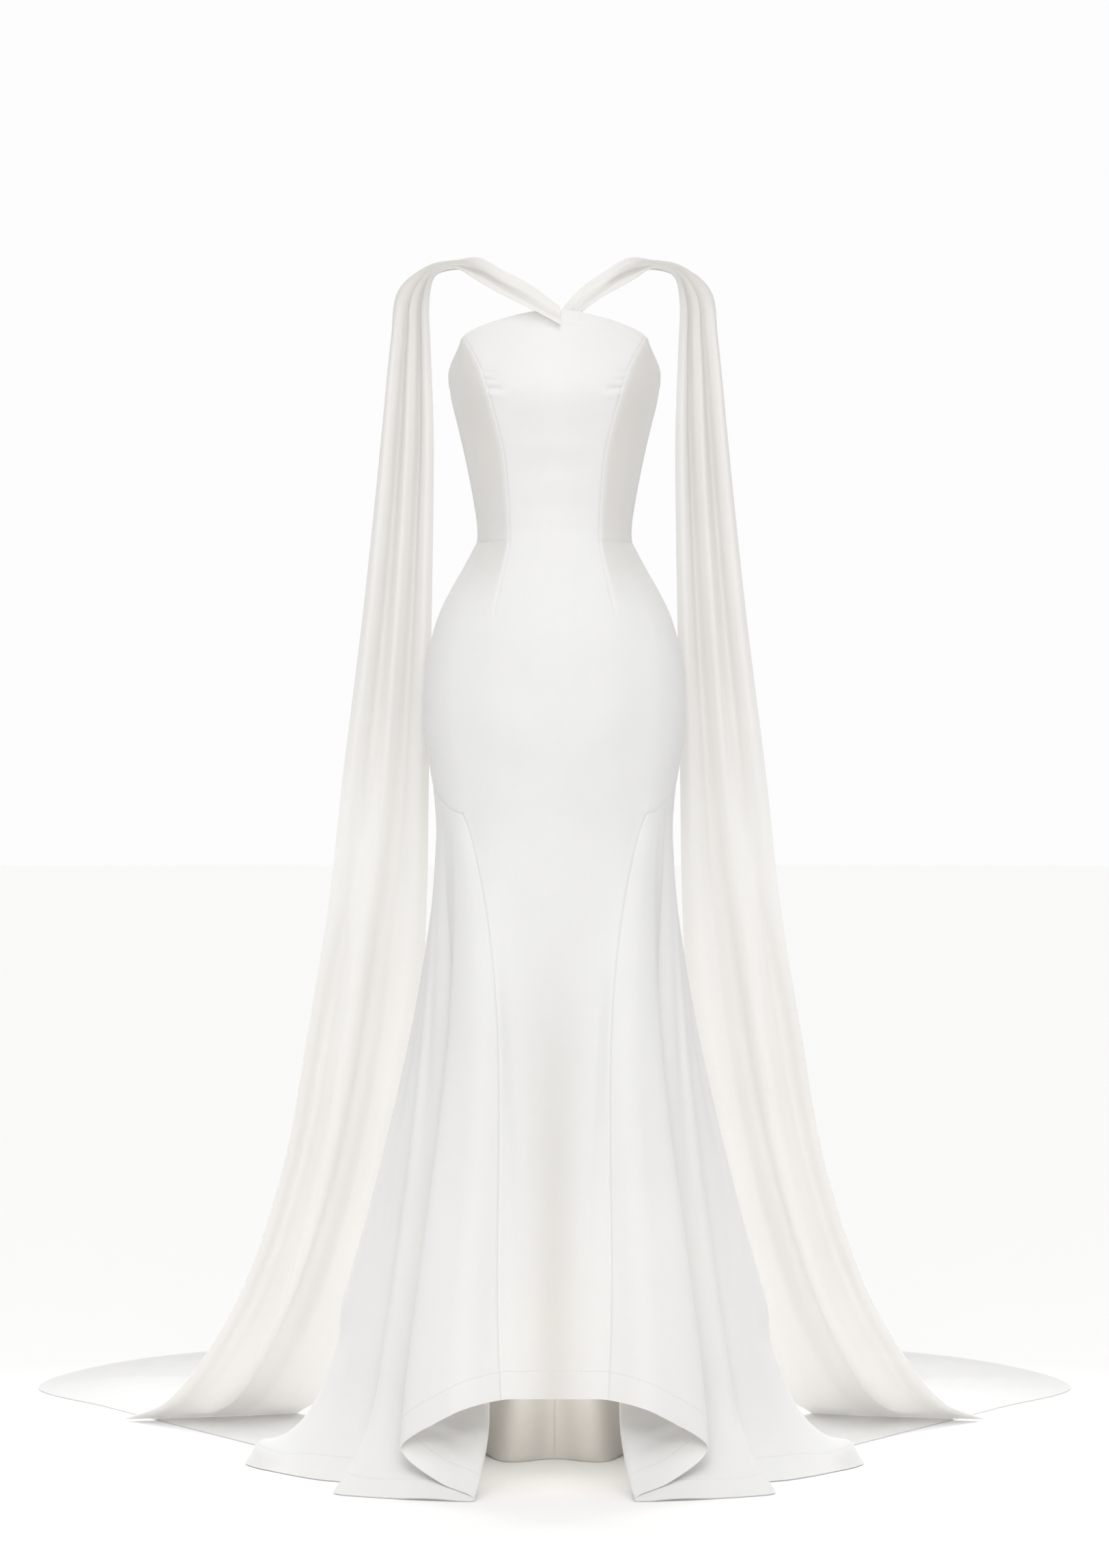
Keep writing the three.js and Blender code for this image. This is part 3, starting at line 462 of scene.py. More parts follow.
def cloth_piece(name, parts, wall, material):
    """A cloth piece with a real wall out of stretches of points, joined where they meet."""
    places, faces, uvs, hems, painted_shades = [], [], [], [], []
    base = 0
    for part in parts:
        rows, cols = part["points"].shape[:2]
        places.append(part["points"].reshape(-1, 3))
        uvs.append(part["uv"].reshape(-1, 2))
        hems.append(part["hem"].ravel())
        painted_shades.append(part["tone"].ravel())
        index = np.arange(rows * cols).reshape(rows, cols) + base
        quads = np.stack([index[:-1, :-1], index[1:, :-1], index[1:, 1:], index[:-1, 1:]], -1)
        keep = part.get("keep")
        faces.append(quads.reshape(-1, 4) if keep is None else quads[keep])
        base += rows * cols
    places = np.concatenate(places) / 1000
    places[:, 2] = np.maximum(places[:, 2], wall / 2) - SHOULDER_HEIGHT / 1000
    mesh = bpy.data.meshes.new(name)
    mesh.from_pydata(places.tolist(), [], np.concatenate(faces).tolist())
    corner = np.empty(len(mesh.loops), int)
    mesh.loops.foreach_get("vertex_index", corner)
    mesh.uv_layers.new(name="cloth").data.foreach_set("uv", (np.concatenate(uvs)[corner] / 1000).ravel())
    mesh.attributes.new("hem", "FLOAT", "POINT").data.foreach_set("value", np.concatenate(hems) / 1000)
    # The painted shade, 0 to 1, that the cloth's material multiplies into its colour
    mesh.attributes.new("tone", "FLOAT", "POINT").data.foreach_set("value", np.concatenate(painted_shades))
    piece = bpy.data.objects.new(name, mesh)
    bpy.context.collection.objects.link(piece)
    work = bmesh.new()
    work.from_mesh(mesh)
    bmesh.ops.delete(work, geom=[v for v in work.verts if not v.link_faces], context="VERTS")
    bmesh.ops.remove_doubles(work, verts=work.verts, dist=2e-5)
    work.to_mesh(mesh)
    work.free()
    piece.data.materials.append(material)
    thick = piece.modifiers.new("wall", "SOLIDIFY")
    thick.thickness = wall
    thick.offset = 0
    select_only(piece)
    bpy.ops.object.modifier_apply(modifier=thick.name)
    bpy.ops.object.shade_smooth_by_angle(angle=math.radians(50))
    return piece


def place_piece(piece, slot, *nodes):
    """The piece moves with the gown's body and stands for its CAD nodes."""
    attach(piece, "root")
    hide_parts(*nodes)
    return piece


def spread(*stops):
    """Grid stops: a value, then pairs of (next value, steps to it)."""
    out = [float(stops[0])]
    for value, count in stops[1:]:
        first = out[-1]
        out += [first + (value - first) * (i + 1) / count for i in range(count)]
    return out


def with_seams(values, *seams):
    """Adds grid stops close beside the seams, where the cloth turns in."""
    near = [s + sign * step for s in seams for step in (0.02, 0.045, 0.08) for sign in (-1, 1)]
    inside = [v for v in near if min(values) < v < max(values)]
    kept = [v for v in values if all(abs(v - s) < 1e-6 or abs(v - s) > 0.1 for s in seams)]
    return np.array(sorted(set(kept + inside)))


# Stops down the gown, counted as in line_point
BODICE_DOWN = np.array(spread(0, (1, 128)))
HIP_DOWN = np.array(spread(1, (2, 76)))
FLARE_DOWN = np.array(spread(2, (2.2, 22), (2.9, 84), (3, 18)))
TRAIN_DOWN = np.array(spread(3, (3.15, 12), (4, 48)))


def front_painted_shade(rounds, downs):
    """Painted shade: the centre of the skirt, which faces less up towards the light, is painted darker than
    the godets beside it.
    """
    return CENTRE_PAINTED_SHADE * smoothstep(2.05, 2.6, downs) * hump(rounds, 0.65)


def side_painted_shade(rounds, downs):
    """Painted shade: the side panels, which turn away from the light, are painted darker than the front,
    most of all beside the princess seam.
    """
    fading = SIDE_PAINTED_SHADE - SIDE_PAINTED_SHADE_DROP * smoothstep(PRINCESS, 7, rounds)
    return smoothstep(PRINCESS, PRINCESS + 0.15, rounds) * fading


def hip_painted_shade(rounds, downs):
    """The side panels' painted shade, which fades out below the waist."""
    return side_painted_shade(rounds, downs) * (1 - smoothstep(1, 1.3, downs))


def godet_painted_shade(rounds, downs):
    """Painted shade in the godet's hollow beside the front seam's flare."""
    return GODET_PAINTED_SHADE * smoothstep(4.6, 6, rounds) * (1 - 0.8 * smoothstep(8, 9, rounds))


def bodice_lift(grid, rounds, downs):
    """The facing fold under the top edge, and the creases."""
    top = lengths(grid, DOWN)
    facing = 0.35 * (1 - smoothstep(FACING_DEPTH - 1, FACING_DEPTH + 2, top))
    groove = -0.8 * hump(top - FACING_DEPTH, 2.2)
    edge = -0.6 * hump(top, 1.6)
    return facing + groove + edge + crease_lift(grid[..., 0], grid[..., 2], FRONT_CREASES)


def hip_lift(grid, rounds, downs):
    """Darts, the waist seams at the sides, the thigh seam and the creases."""
    princess = int(np.argmin(np.abs(rounds[0] - PRINCESS)))
    across = lengths(grid, ROUND)
    beside = across - across[:, princess : princess + 1]
    dart = -DART_DEPTH * hump(beside, SEAM_WIDTH) * (1 - smoothstep(DART_END - 0.05, DART_END, downs))
    waist = seam_roll(lengths(grid, DOWN)) * smoothstep(PRINCESS, PRINCESS + 3, rounds)
    thigh = seam_roll(lengths(grid, DOWN, True)) * smoothstep(GODET, GODET + 0.1, rounds)
    return dart + waist + thigh + crease_lift(grid[..., 0], grid[..., 2], FRONT_CREASES)


def hem_lift(grid):
    """The turned hem lies a little proud up to its stitching."""
    rise = lengths(grid, DOWN, True)
    return 0.35 * (1 - smoothstep(HEM_DEPTH - 2, HEM_DEPTH + 5, rise)) - 0.15 * hump(rise - HEM_DEPTH, 3)


def flare_lift(grid, rounds, downs):
    """The hem and the creases of the front of the skirt."""
    return hem_lift(grid) + crease_lift(grid[..., 0], grid[..., 2], FRONT_CREASES)


def back_lift(grid, rounds, downs):
    """The creases of the back, from a little behind the side seam."""
    shown = smoothstep(SIDE + 1, SIDE + 3, rounds)
    return crease_lift(grid[..., 0], grid[..., 2], BACK_CREASES) * shown


def train_lift(grid, rounds, downs):
    """The side hem's curl and the back's creases, and the ripples where the cloth lies on the floor."""
    lying = smoothstep(2.95, 3.1, downs)
    side = crease_lift(grid[..., 0], grid[..., 2], SIDE_CREASES) * (1 - smoothstep(12.4, 13.2, rounds))
    floor = crease_lift(grid[..., 0], grid[..., 1], TRAIN_CREASES) * lying
    return floor + side + back_lift(grid, rounds, downs) * (1 - lying)


def row_curve(table, names, at):
    """A point along a smooth curve through the rows of a table, at running 0 to 1."""
    points = np.stack([table[name] for name in names], -1)
    points = np.concatenate([[2 * points[0] - points[1]], points, [2 * points[-1] - points[-2]]])
    last = len(points) - 3
    place = np.clip(at, 0, 1) * last
    i = np.clip(np.floor(place).astype(int), 0, last - 1)
    return curve_between(points[i], points[i + 1], points[i + 2], points[i + 3], place - i)


def cape_edge(rows, edge, at):
    """Points down an edge of the cape, low or up."""
    return row_curve(rows, (f"{edge}_x", f"{edge}_y", f"{edge}_h"), at)


def cape_lift(rows, alongs, overs):
    """How far the cape's folds stand out of the flat band between its edges."""
    stops = {"at": np.linspace(0, 1, len(rows["pleats"])), "pleats": rows["pleats"]}
    along, over = alongs[:, None], overs[None, :]
    depth = np.broadcast_to(smooth_read(CAPE_FOLDS, "over", "strap", overs), (len(alongs), len(overs)))
    for start, stop, into in FOLD_CHANGES:
        share = smoothstep(start, stop, along)
        depth = depth + (smooth_read(CAPE_FOLDS, "over", into, overs) - depth) * share
    lift = smooth_read(stops, "at", "pleats", alongs)[:, None] * depth
    for a0, o0, a1, o1, rise, width in zip(*CAPE_CREASES.values()):
        t = (along - a0) / (a1 - a0)
        fade = smoothstep(-0.1, 0.25, t) * (1 - smoothstep(0.7, 1.1, t))
        lift = lift + rise * hump(over - (o0 + (o1 - o0) * t), width) * fade
    return lift


def cape_part(rows):
    """One cape from its tucked end to the floor: its points, uv, distance from the hem and painted shade."""
    alongs = np.array(spread(0, (1, (len(rows["low_x"]) - 1) * 18)))
    overs = np.array(spread(0, (1, 48)))
    along, over = alongs[:, None], overs[None, :]
    lift = cape_lift(rows, alongs, overs)
    # Painted shade: darker in the hollows of the folds, and on the strap and over the shoulder, where it is
    # painted shade and partly the deeper tone of the gathered layers
    fold_painted_shade = CAPE_FOLD_PAINTED_SHADE - CAPE_FOLD_PAINTED_SHADE_DROP * smoothstep(0.4, 0.6, along)
    shoulder = smoothstep(0.14, 0.24, along) * (1 - smoothstep(0.26, 0.44, along))
    tone = CAPE_SHOULDER_PAINTED_SHADE * shoulder + fold_painted_shade * smoothstep(0, 3, -lift)
    lift = lift * (1 - smoothstep(0.95, 0.995, along))

    after, before = np.minimum(1, alongs + 0.004), np.maximum(0, alongs - 0.004)
    run = unit(sum(cape_edge(rows, edge, after) - cape_edge(rows, edge, before) for edge in ("low", "up")))
    low, up = cape_edge(rows, "low", alongs), cape_edge(rows, "up", alongs)
    out = unit(np.cross(run, unit(up - low)))
    flat = low[:, None] * (1 - over[..., None]) + up[:, None] * over[..., None]
    points = flat + out[:, None] * lift[..., None]
    points[..., 2] = np.maximum(points[..., 2] - 0.6 * smoothstep(0.97, 1, along), FOOT)
    u, v = lengths(points, ROUND), lengths(points, DOWN)
    uv = np.stack([u, np.broadcast_to(v.mean(axis=1, keepdims=True), u.shape)], -1)
    return {"points": points, "uv": uv, "hem": lengths(points, DOWN, True), "tone": tone}


def node(tree, kind, inputs=(), **settings):
    """A shader node. inputs holds, for its own sockets, values or the sockets that feed them."""
    made = tree.nodes.new(kind)
    for name, value in settings.items():
        setattr(made, name, value)
    for name, value in dict(inputs).items():
        if isinstance(value, bpy.types.NodeSocket):
            tree.links.new(value, made.inputs[name])
        else:
            made.inputs[name].default_value = value
    return made


def combined(tree, operation, *values):
    """The result of a sum, product or other step on values."""
    return node(tree, "ShaderNodeMath", enumerate(values), operation=operation).outputs[0]


def ranged(tree, value, to_min, to_max, from_min=0, from_max=1, kind="LINEAR"):
    """A value taken from one range to another."""
    inputs = {"Value": value, "From Min": from_min, "From Max": from_max, "To Min": to_min, "To Max": to_max}
    return node(tree, "ShaderNodeMapRange", inputs, interpolation_type=kind).outputs[0]


def mixed(tree, factor, first, second, blend="MIX"):
    """A blend of two colours."""
    inputs = {"Factor": factor, "A": first, "B": second}
    return node(tree, "ShaderNodeMix", inputs, data_type="RGBA", blend_type=blend).outputs["Result"]


def noise(tree, place, scale, detail):
    """Soft noise from 0 to 1."""
    inputs = {"Vector": place, "Scale": scale, "Detail": detail}
    return node(tree, "ShaderNodeTexNoise", inputs).outputs["Fac"]


def bands(tree, uv, direction, width, **wobble):
    """Even bands of a real width along one direction of the cloth."""
    inputs = {"Vector": uv, "Scale": math.pi / 10 / width, **wobble}
    made = node(tree, "ShaderNodeTexWave", inputs, wave_type="BANDS", bands_direction=direction)
    return made.outputs["Fac"]


def shaded(color, factor):
    """A colour made darker, with its alpha."""
    return (*[c * factor for c in color], 1)


def weave_bump(tree, uv, thread, depth):
    """Threads both ways along the piece's own uv."""
    wobble = {"Distortion": 0.6, "Detail": 1, "Detail Scale": 0.5}
    warp, weft = (bands(tree, uv, direction, thread, **wobble) for direction in "XY")
    threads = combined(tree, "MAXIMUM", warp, weft)
    return node(tree, "ShaderNodeBump", {"Height": threads, "Strength": 0.5, "Distance": depth}).outputs[0]


def stitch_row(tree, uv, distance):
    """Where a row of stitches lies, at its distance from the hem."""
    hem = node(tree, "ShaderNodeAttribute", attribute_name="hem").outputs["Fac"]
    off = combined(tree, "ABSOLUTE", combined(tree, "SUBTRACT", hem, distance))
    line = ranged(tree, off, 0, 1, 0.0011, 0.0003, "SMOOTHSTEP")
    return combined(tree, "MULTIPLY", line, bands(tree, uv, "X", 0.0035))


def cloth_material(
    name, color, roughness, sheen, thread, weave_depth, grain, stitched=0.0, sheer=0.0, painted_shade_keep=0.8
):
    """Woven cloth: threads and slubs along the piece's own uv, soft random tone changes, painted shade
    from the piece's painted shade attribute, sheen, and a row of stitches at the distance stitched from the
    hem. sheer is the share of the light that passes through, and the last argument what is left of the
    colour where the painted shade is full."""
    made = bpy.data.materials.new(name)
    made.use_nodes = True
    tree = made.node_tree
    tree.nodes.clear()
    uv = node(tree, "ShaderNodeUVMap", uv_map="cloth").outputs[0]
    place = node(tree, "ShaderNodeTexCoord").outputs["Object"]
    # The pieces' painted shade attribute, 0 to 1
    depth = node(tree, "ShaderNodeAttribute", attribute_name="tone").outputs["Fac"]
    long_threads = node(tree, "ShaderNodeMapping", {"Vector": uv, "Scale": (900, 60, 1)}).outputs[0]
    slub = noise(tree, long_threads, 1, 2)

    crepe = combined(tree, "ADD", slub, noise(tree, place, grain, 4))
    bump = node(tree, "ShaderNodeBump", {
        "Height": crepe, "Strength": 0.35, "Distance": weave_depth * 2,
        "Normal": weave_bump(tree, uv, thread, weave_depth),
    }).outputs[0]
    clouds = ranged(tree, noise(tree, place, 5, 3), 0, 1, 0.3, 0.7)
    threads = combined(tree, "MULTIPLY", clouds, ranged(tree, slub, 0.6, 1.4))
    tint = mixed(tree, threads, shaded(color, 0.97), shaded(color, 1))
    # Painted shade: the colour is multiplied darker where the painted shade attribute is high
    tint = mixed(tree, depth, tint, (painted_shade_keep, painted_shade_keep * 0.98, painted_shade_keep * 0.95, 1), "MULTIPLY")
    if stitched:
        stitch = stitch_row(tree, uv, stitched)
        pull = {"Height": stitch, "Strength": 0.5, "Distance": 0.0004, "Normal": bump}
        bump = node(tree, "ShaderNodeBump", pull, invert=True).outputs[0]
        tint = mixed(tree, stitch, tint, shaded(color, 0.87))

    surface = node(tree, "ShaderNodeBsdfPrincipled", {
        "Base Color": tint, "Normal": bump,
        "Roughness": ranged(tree, slub, roughness - 0.05, roughness + 0.07),
        "Specular IOR Level": 0.5, "Sheen Weight": sheen, "Sheen Roughness": 0.45,
        "Subsurface Weight": 0 if sheer else 0.4, "Subsurface Scale": 0.003,
        "Subsurface Radius": (1, 0.85, 0.7),
    }).outputs[0]
    if sheer:
        light = (*[0.7 + 0.3 * c for c in color], 1)
        # Painted shade also darkens the colour of the light let through
        thin = mixed(tree, depth, light, (painted_shade_keep, painted_shade_keep * 0.975, painted_shade_keep * 0.94, 1), "MULTIPLY")
        through = node(tree, "ShaderNodeBsdfTranslucent", {"Color": thin}).outputs[0]
        surface = node(tree, "ShaderNodeMixShader", {"Fac": sheer, 1: surface, 2: through}).outputs[0]
    node(tree, "ShaderNodeOutputMaterial", {"Surface": surface})
    return made


def gown_cloth(settings):
    """Crepe with a smooth sheen, stitched along its hem."""
    return bpy.data.materials.get("ivory_crepe") or cloth_material(
        "ivory_crepe", settings.gown_color, roughness=0.4, sheen=0.06, thread=0.00042,
        weave_depth=0.0001, grain=700, stitched=HEM_DEPTH / 1000,
    )


def cape_cloth(settings):
    """Chiffon that lets some light through, with a rolled edge."""
    return bpy.data.materials.get("sheer_chiffon") or cloth_material(
        "sheer_chiffon", settings.cape_color, roughness=0.68, sheen=0.15, thread=0.0005,
        weave_depth=0.00008, grain=520, stitched=0.006, sheer=0.38, painted_shade_keep=0.62,
    )


def button_cloth(settings):
    """Satin of the covered buttons and their loops."""
    return cloth_material(
        "button_satin", settings.gown_color, roughness=0.4, sheen=0.2, thread=0.0003,
        weave_depth=0.00005, grain=900,
    )


class GownSettings(bpy.types.PropertyGroup):
    """The gown's sizes and colours"""

    gown_wall: bpy.props.FloatProperty(
        name="Gown cloth", description="Thickness of the lined crepe", default=0.0016,
        min=0.001, max=0.003, unit="LENGTH", precision=4,
    )
    cape_wall: bpy.props.FloatProperty(
        name="Cape cloth", description="Thickness of the cape cloth", default=0.0012,
        min=0.0008, max=0.003, unit="LENGTH", precision=4,
    )
    gown_color: bpy.props.FloatVectorProperty(
        name="Gown colour", description="Colour of the crepe", subtype="COLOR", size=3,
        min=0, max=1, default=(0.84, 0.835, 0.825),
    )
    cape_color: bpy.props.FloatVectorProperty(
        name="Cape colour", description="Colour of the cape cloth", subtype="COLOR", size=3,
        min=0, max=1, default=(0.95, 0.937, 0.915),
    )
    button_size: bpy.props.FloatProperty(
        name="Button", description="Width of a covered button", default=0.01,
        min=0.006, max=0.015, unit="LENGTH", precision=4,
    )
    floor_color: bpy.props.FloatVectorProperty(
        name="Floor colour", description="Colour of the floor and the backdrop", subtype="COLOR", size=3,
        min=0, max=1, default=(0.78, 0.78, 0.78),
    )


class GOWN_OT_front(bpy.types.Operator):
    """The front panel: bodice centre, hips with their darts, and the skirt down to the raised hem"""

    bl_idname = "gown.front"
    bl_label = "Front panel"

    def execute(self, context):
        settings = context.scene.gown
        inner = spread(0, (PRINCESS, 26))
        wing = spread(PRINCESS, (GODET, 16), (SIDE, 36))
        hips = with_seams(sorted(set(inner + wing)), PRINCESS, GODET, SIDE)
        skirt = hips[hips <= GODET + 1e-9]
        centre = hips[hips <= PRINCESS + 1e-9]
        parts = [
            stretch(centre, BODICE_DOWN, [(ROUND, True)], bodice_lift),
            stretch(hips, HIP_DOWN, [(ROUND, True)], hip_lift, False, hip_painted_shade),
            stretch(skirt, FLARE_DOWN, [(ROUND, True)], flare_lift, True, front_painted_shade),
        ]
        parts += [mirrored(part) for part in parts]
        piece = cloth_piece("front_cloth", parts, settings.gown_wall, gown_cloth(settings))
        place_piece(piece, "gown_crepe", "front_panel")
        return {"FINISHED"}


def both_sides(name, parts, node_name, slot, wall, material):
    """The same piece left and right, each standing for its CAD node."""
    for word, side_parts in (("right", parts), ("left", [mirrored(part) for part in parts])):
        piece = cloth_piece(f"{name}_{word}", side_parts, wall, material)
        place_piece(piece, slot, f"{node_name}_{word}")


class GOWN_OT_bodice(bpy.types.Operator):
    """The bodice sides and the bodice backs, with the backs of the hips"""

    bl_idname = "gown.bodice"
    bl_label = "Bodice sides and back"

    def execute(self, context):
        settings = context.scene.gown
        cloth, wall = gown_cloth(settings), settings.gown_wall
        sewn = [(ROUND, False), (ROUND, True), (DOWN, True)]
        side = with_seams(spread(PRINCESS, (SIDE, 40)), PRINCESS, SIDE)
        back = with_seams(spread(SIDE, (LAST_LINE, 54)), SIDE)
        sides = [stretch(side, BODICE_DOWN, sewn, bodice_lift, False, side_painted_shade)]
        both_sides(
            "bodice_side_cloth", sides, "bodice_side", "gown_crepe",
            wall, cloth,
        )
        backs = [stretch(back, BODICE_DOWN[::2], sewn, back_lift)]
        both_sides(
            "bodice_back_cloth", backs, "bodice_back", "gown_crepe",
            wall, cloth,
        )
        hips = [stretch(back, HIP_DOWN, sewn + [(DOWN, False)], back_lift)]
        both_sides(
            "hip_back_cloth", hips, "hip_back", "gown_crepe",
            wall, cloth,
        )
        return {"FINISHED"}


class GOWN_OT_skirt(bpy.types.Operator):
    """The two godets, and the back of the skirt with its train"""

    bl_idname = "gown.skirt"
    bl_label = "Godets, back skirt and train"

    def execute(self, context):
        settings = context.scene.gown
        cloth, wall = gown_cloth(settings), settings.gown_wall
        sewn = [(DOWN, False), (ROUND, False), (ROUND, True)]
        front = with_seams(spread(GODET, (5, 36), (8, 27), (SIDE, 15)), GODET, SIDE)
        godets = [stretch(front, FLARE_DOWN, sewn, flare_lift, True, godet_painted_shade)]
        both_sides(
            "godet_cloth", godets, "skirt_godet", "gown_crepe",
            wall, cloth,
        )
        back = with_seams(spread(SIDE, (TRAIN_START, 30), (LAST_LINE, 60)), SIDE)
        downs = np.r_[FLARE_DOWN, TRAIN_DOWN[1:]]
        part = stretch(back, downs, sewn, train_lift, hem=True)
        part["keep"] = (downs[:-1, None] < 3 - 1e-9) | (back[None, :-1] >= TRAIN_START - 1e-9)
        both_sides(
            "back_skirt_cloth", [part], "skirt_back", "gown_crepe",
            wall, cloth,
        )
        return {"FINISHED"}


class GOWN_OT_capes(bpy.types.Operator):
    """The two capes: strap, shoulder folds and the open panel that hangs to the floor"""

    bl_idname = "gown.capes"
    bl_label = "Shoulder capes"

    def execute(self, context):
        settings = context.scene.gown
        inside = {name: np.r_[INSIDE_START[name], CAPE_ROWS[name][2:]] for name in CAPE_ROWS}
        for word, rows, turn in (("left", CAPE_ROWS, mirrored), ("right", inside, dict)):
            part = turn(cape_part(rows))
            piece = cloth_piece(f"cape_cloth_{word}", [part], settings.cape_wall, cape_cloth(settings))
            place_piece(piece, "cape_chiffon", f"cape_{word}")
        return {"FINISHED"}


def placket_part(wall):
    """The right half of the placket, which lies on the backs of the bodice and the hips."""
    downs = np.array(spread(0, (1, 60), (1.4, 24)))
    rounds = np.array([PLACKET_EDGE, PLACKET_CREASE, LAST_LINE])
    grid = gown_grid(rounds, downs) + gown_out(rounds, downs) * (wall * 500 + 0.9)
    low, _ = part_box("back_placket")
    grid = grid[grid[:, 2, 2] > low.z * 1000 + SHOULDER_HEIGHT]
    across = lengths(grid, ROUND)
    grid[..., 1] -= 0.5 * hump(across, 1.2)
    return {
        "points": grid, "uv": np.stack([across, lengths(grid, DOWN)], -1),
        "hem": np.full(across.shape, FAR), "tone": np.zeros(across.shape),
    }


def cut_away(place, direction):
    """Cuts the active piece at a plane, closes it and keeps the side that direction points to."""
    bpy.ops.mesh.select_all(action="SELECT")
    bpy.ops.mesh.bisect(plane_co=place, plane_no=direction, use_fill=True, clear_inner=True)


def button_pattern(radius, cloth):
    """A covered button: the top of a ball, pressed flatter."""
    deselect()
    bpy.ops.mesh.primitive_uv_sphere_add(segments=24, ring_count=12, radius=radius)
    bpy.ops.object.mode_set(mode="EDIT")
    cut_away((0, 0, -0.2 * radius), (0, 0, 1))
    bpy.ops.mesh.select_all(action="SELECT")
    bpy.ops.transform.resize(value=(1, 1, 0.56))
    bpy.ops.object.mode_set(mode="OBJECT")
    bpy.ops.object.shade_smooth_by_angle(angle=math.radians(40))
    return covered(bpy.context.active_object, cloth)


def loop_pattern(radius, cloth):
    """A soft loop that lies round most of a button."""
    deselect()
    bpy.ops.mesh.primitive_torus_add(
        major_segments=28, minor_segments=8, major_radius=radius * 1.02, minor_radius=0.0006
    )
    bpy.ops.object.mode_set(mode="EDIT")
    cut_away((-0.6 * radius, 0, 0), (1, 0, 0))
    bpy.ops.object.mode_set(mode="OBJECT")
    bpy.ops.object.shade_smooth()
    return covered(bpy.context.active_object, cloth)


def covered(pattern, cloth):
    """A pattern with its uv map named and its cloth on."""
    pattern.data.uv_layers[0].name = "cloth"
    pattern.data.materials.append(cloth)
    return pattern


def copy_to(pattern, name, place):
    """A copy with its own mesh, turned to face backwards."""
    copy = pattern.copy()
    copy.data = pattern.data.copy()
    copy.name = name
    bpy.context.collection.objects.link(copy)
    copy.location = place
    copy.rotation_euler = (math.radians(-90), 0, 0)
    select_only(copy)
    bpy.ops.object.transform_apply(location=True, rotation=True, scale=True)
    return copy


class GOWN_OT_closure(bpy.types.Operator):
    """The placket at the centre back, its covered buttons and their loops"""

    bl_idname = "gown.closure"
    bl_label = "Placket, buttons and loops"

    def execute(self, context):
        settings = context.scene.gown
        half = placket_part(settings.gown_wall)
        placket = cloth_piece("placket_cloth", [half, mirrored(half)], 0.0012, gown_cloth(settings))
        place_piece(placket, "gown_crepe", "back_placket")

        satin = button_cloth(settings)
        patterns = [make(settings.button_size / 2, satin) for make in (button_pattern, loop_pattern)]
        loops = []
        for number in range(1, BUTTONS + 1):
            node_name = f"back_button_{number:02d}"
            low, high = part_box(node_name)
            height = (low.z + high.z) / 2
            button = copy_to(patterns[0], f"button_{number:02d}", (0, low.y + BUTTON_STAND, height))
            place_piece(button, "button_cloth", node_name)
            loops.append(copy_to(patterns[1], f"loop_{number:02d}", (0, low.y + LOOP_STAND, height)))
        deselect()
        for loop in loops:
            loop.select_set(True)
        context.view_layer.objects.active = loops[0]
        bpy.ops.object.join()
        joined = context.active_object
        joined.name = "button_loops"
        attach(joined, "root")
        for pattern in patterns:
            bpy.data.objects.remove(pattern)
        return {"FINISHED"}


def floor_paper(color):
    """Matt white paper, lifted a little where the camera sees it, to meet the backdrop."""
    paper = bpy.data.materials.new("floor_paper")
    paper.use_nodes = True
    tree = paper.node_tree
    tree.nodes.clear()
    seen = node(tree, "ShaderNodeLightPath").outputs["Is Camera Ray"]
    surface = node(tree, "ShaderNodeBsdfPrincipled", {
        "Base Color": (*color, 1), "Roughness": 0.9, "Specular IOR Level": 0.1,
        "Emission Color": (1, 1, 1, 1), "Emission Strength": combined(tree, "MULTIPLY", seen, 0.14),
    })
    node(tree, "ShaderNodeOutputMaterial", {"Surface": surface.outputs[0]})
    return paper


def studio_world():
    """Soft light from all round, which the camera sees as a white backdrop."""
    world = bpy.data.worlds.new("studio")
    world.use_nodes = True
    tree = world.node_tree
    tree.nodes.clear()
    glow = node(tree, "ShaderNodeBackground", {"Color": (1, 0.992, 0.98, 1), "Strength": 0.62})
    backdrop = node(tree, "ShaderNodeBackground", {"Color": (1, 1, 1, 1), "Strength": 0.98})
    seen = node(tree, "ShaderNodeLightPath").outputs["Is Camera Ray"]
    both = node(tree, "ShaderNodeMixShader", {"Fac": seen, 1: glow.outputs[0], 2: backdrop.outputs[0]})
    node(tree, "ShaderNodeOutputWorld", {"Surface": both.outputs[0]})
    return world


def add_light(name, kind, place, aim, width, power, warm=False, spread_angle=180):
    """A studio light. A sun's width is in degrees, the others' in metres."""
    light = bpy.data.lights.new(name, kind)
    light.energy = power
    if warm:
        light.color = (1, 0.95, 0.88)
    if kind == "SUN":
        light.angle = math.radians(width)
    elif kind == "AREA":
        light.size = width
        light.spread = math.radians(spread_angle)
    else:
        light.shadow_soft_size = width
    lamp = bpy.data.objects.new(name, light)
    lamp.location = place
    lamp.rotation_euler = (Vector(aim) - Vector(place)).to_track_quat("-Z", "Y").to_euler()
    lamp.visible_camera = False
    lamp.visible_glossy = name == "bodice_softbox"
    bpy.context.collection.objects.link(lamp)


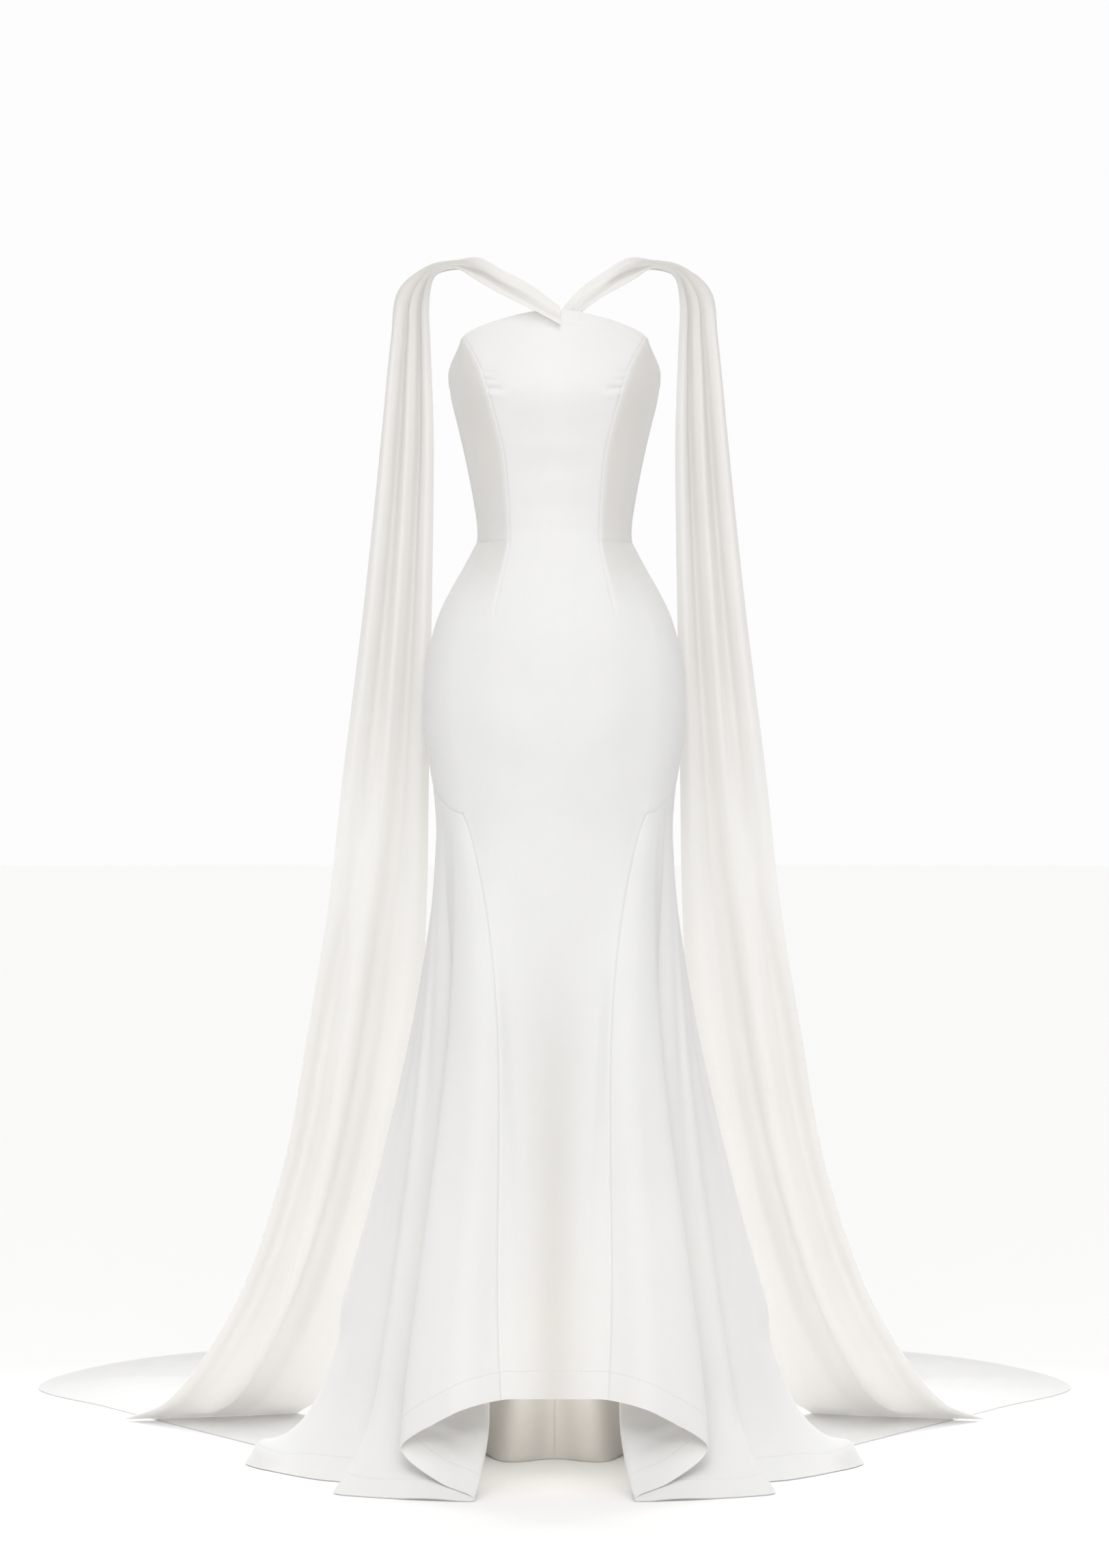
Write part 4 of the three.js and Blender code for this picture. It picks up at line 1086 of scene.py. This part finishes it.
# The columns are those that add_light names
LIGHTS = (
    ("overhead_sun", "SUN", (0, -3, 4), (0, 0, 0), 40, 0.98),
    ("back_sun", "SUN", (0, 3, 3.6), (0, 0, 0), 40, 0.75),
    ("bodice_softbox", "AREA", (0, -2.6, 0.3), (0, -0.1, -0.15), 0.75, 12.6),
    ("cape_light_left", "AREA", (-1, 1.1, -0.7), (-0.38, 0.42, -1.24), 0.6, 1.6, False, 70),
    ("cape_light_right", "AREA", (1, 1.1, -0.7), (0.38, 0.42, -1.24), 0.6, 1.6, False, 70),
    ("fill_under_skirt", "AREA", (0, -0.1, -1.2), (0, 0.2, -1.46), 0.16, 0.04, True),
    ("glow_in_hem", "POINT", (0, -0.04, -1.33), (0, 0, -1.4), 0.06, 0.55, True),
)


class GOWN_OT_stage(bpy.types.Operator):
    """The pale floor and backdrop, the studio lights and the camera"""

    bl_idname = "gown.stage"
    bl_label = "Floor, lights and camera"

    def execute(self, context):
        deselect()
        bpy.ops.mesh.primitive_circle_add(
            vertices=96, radius=45, fill_type="NGON", location=(0, 0, -SHOULDER_HEIGHT / 1000 - 0.0004)
        )
        floor = context.active_object
        floor.name = "floor"
        bpy.ops.object.transform_apply(location=True, rotation=True, scale=True)
        floor.data.materials.append(floor_paper(context.scene.gown.floor_color))

        context.scene.world = studio_world()
        for row in LIGHTS:
            add_light(*row)

        camera = bpy.data.objects.new("camera", bpy.data.cameras.new("camera"))
        camera.data.lens = LENS_PIXELS / PHOTO_HEIGHT_PIXELS * SENSOR
        camera.data.sensor_width = SENSOR
        camera.location = (0, -6, -0.65)
        camera.rotation_euler = (math.radians(90), 0, 0)
        camera.data.clip_end = 60
        context.collection.objects.link(camera)
        context.scene.camera = camera
        context.scene.view_settings.view_transform = "Standard"
        return {"FINISHED"}


class GOWN_PT_panel(bpy.types.Panel):
    """Lists the gown's sizes and its pieces"""

    bl_label = "High-low gown"
    bl_idname = "GOWN_PT_panel"
    bl_space_type = "VIEW_3D"
    bl_region_type = "UI"
    bl_category = "Gown"

    def draw(self, context):
        settings = context.scene.gown
        for name in settings.bl_rna.properties.keys():
            if name not in {"rna_type", "name"}:
                self.layout.prop(settings, name)
        for operator in OPERATORS:
            self.layout.operator(operator.bl_idname)


OPERATORS = (GOWN_OT_front, GOWN_OT_bodice, GOWN_OT_skirt, GOWN_OT_capes, GOWN_OT_closure, GOWN_OT_stage)
CLASSES = (GownSettings, *OPERATORS, GOWN_PT_panel)


def register():
    for made in CLASSES:
        bpy.utils.register_class(made)
    bpy.types.Scene.gown = bpy.props.PointerProperty(type=GownSettings)


def unregister():
    del bpy.types.Scene.gown
    for made in reversed(CLASSES):
        bpy.utils.unregister_class(made)


def main():
    register()
    bpy.ops.gown.front()
    bpy.ops.gown.bodice()
    bpy.ops.gown.skirt()
    bpy.ops.gown.capes()
    bpy.ops.gown.closure()
    bpy.ops.gown.stage()
    deselect()


if __name__ == "__main__":
    main()
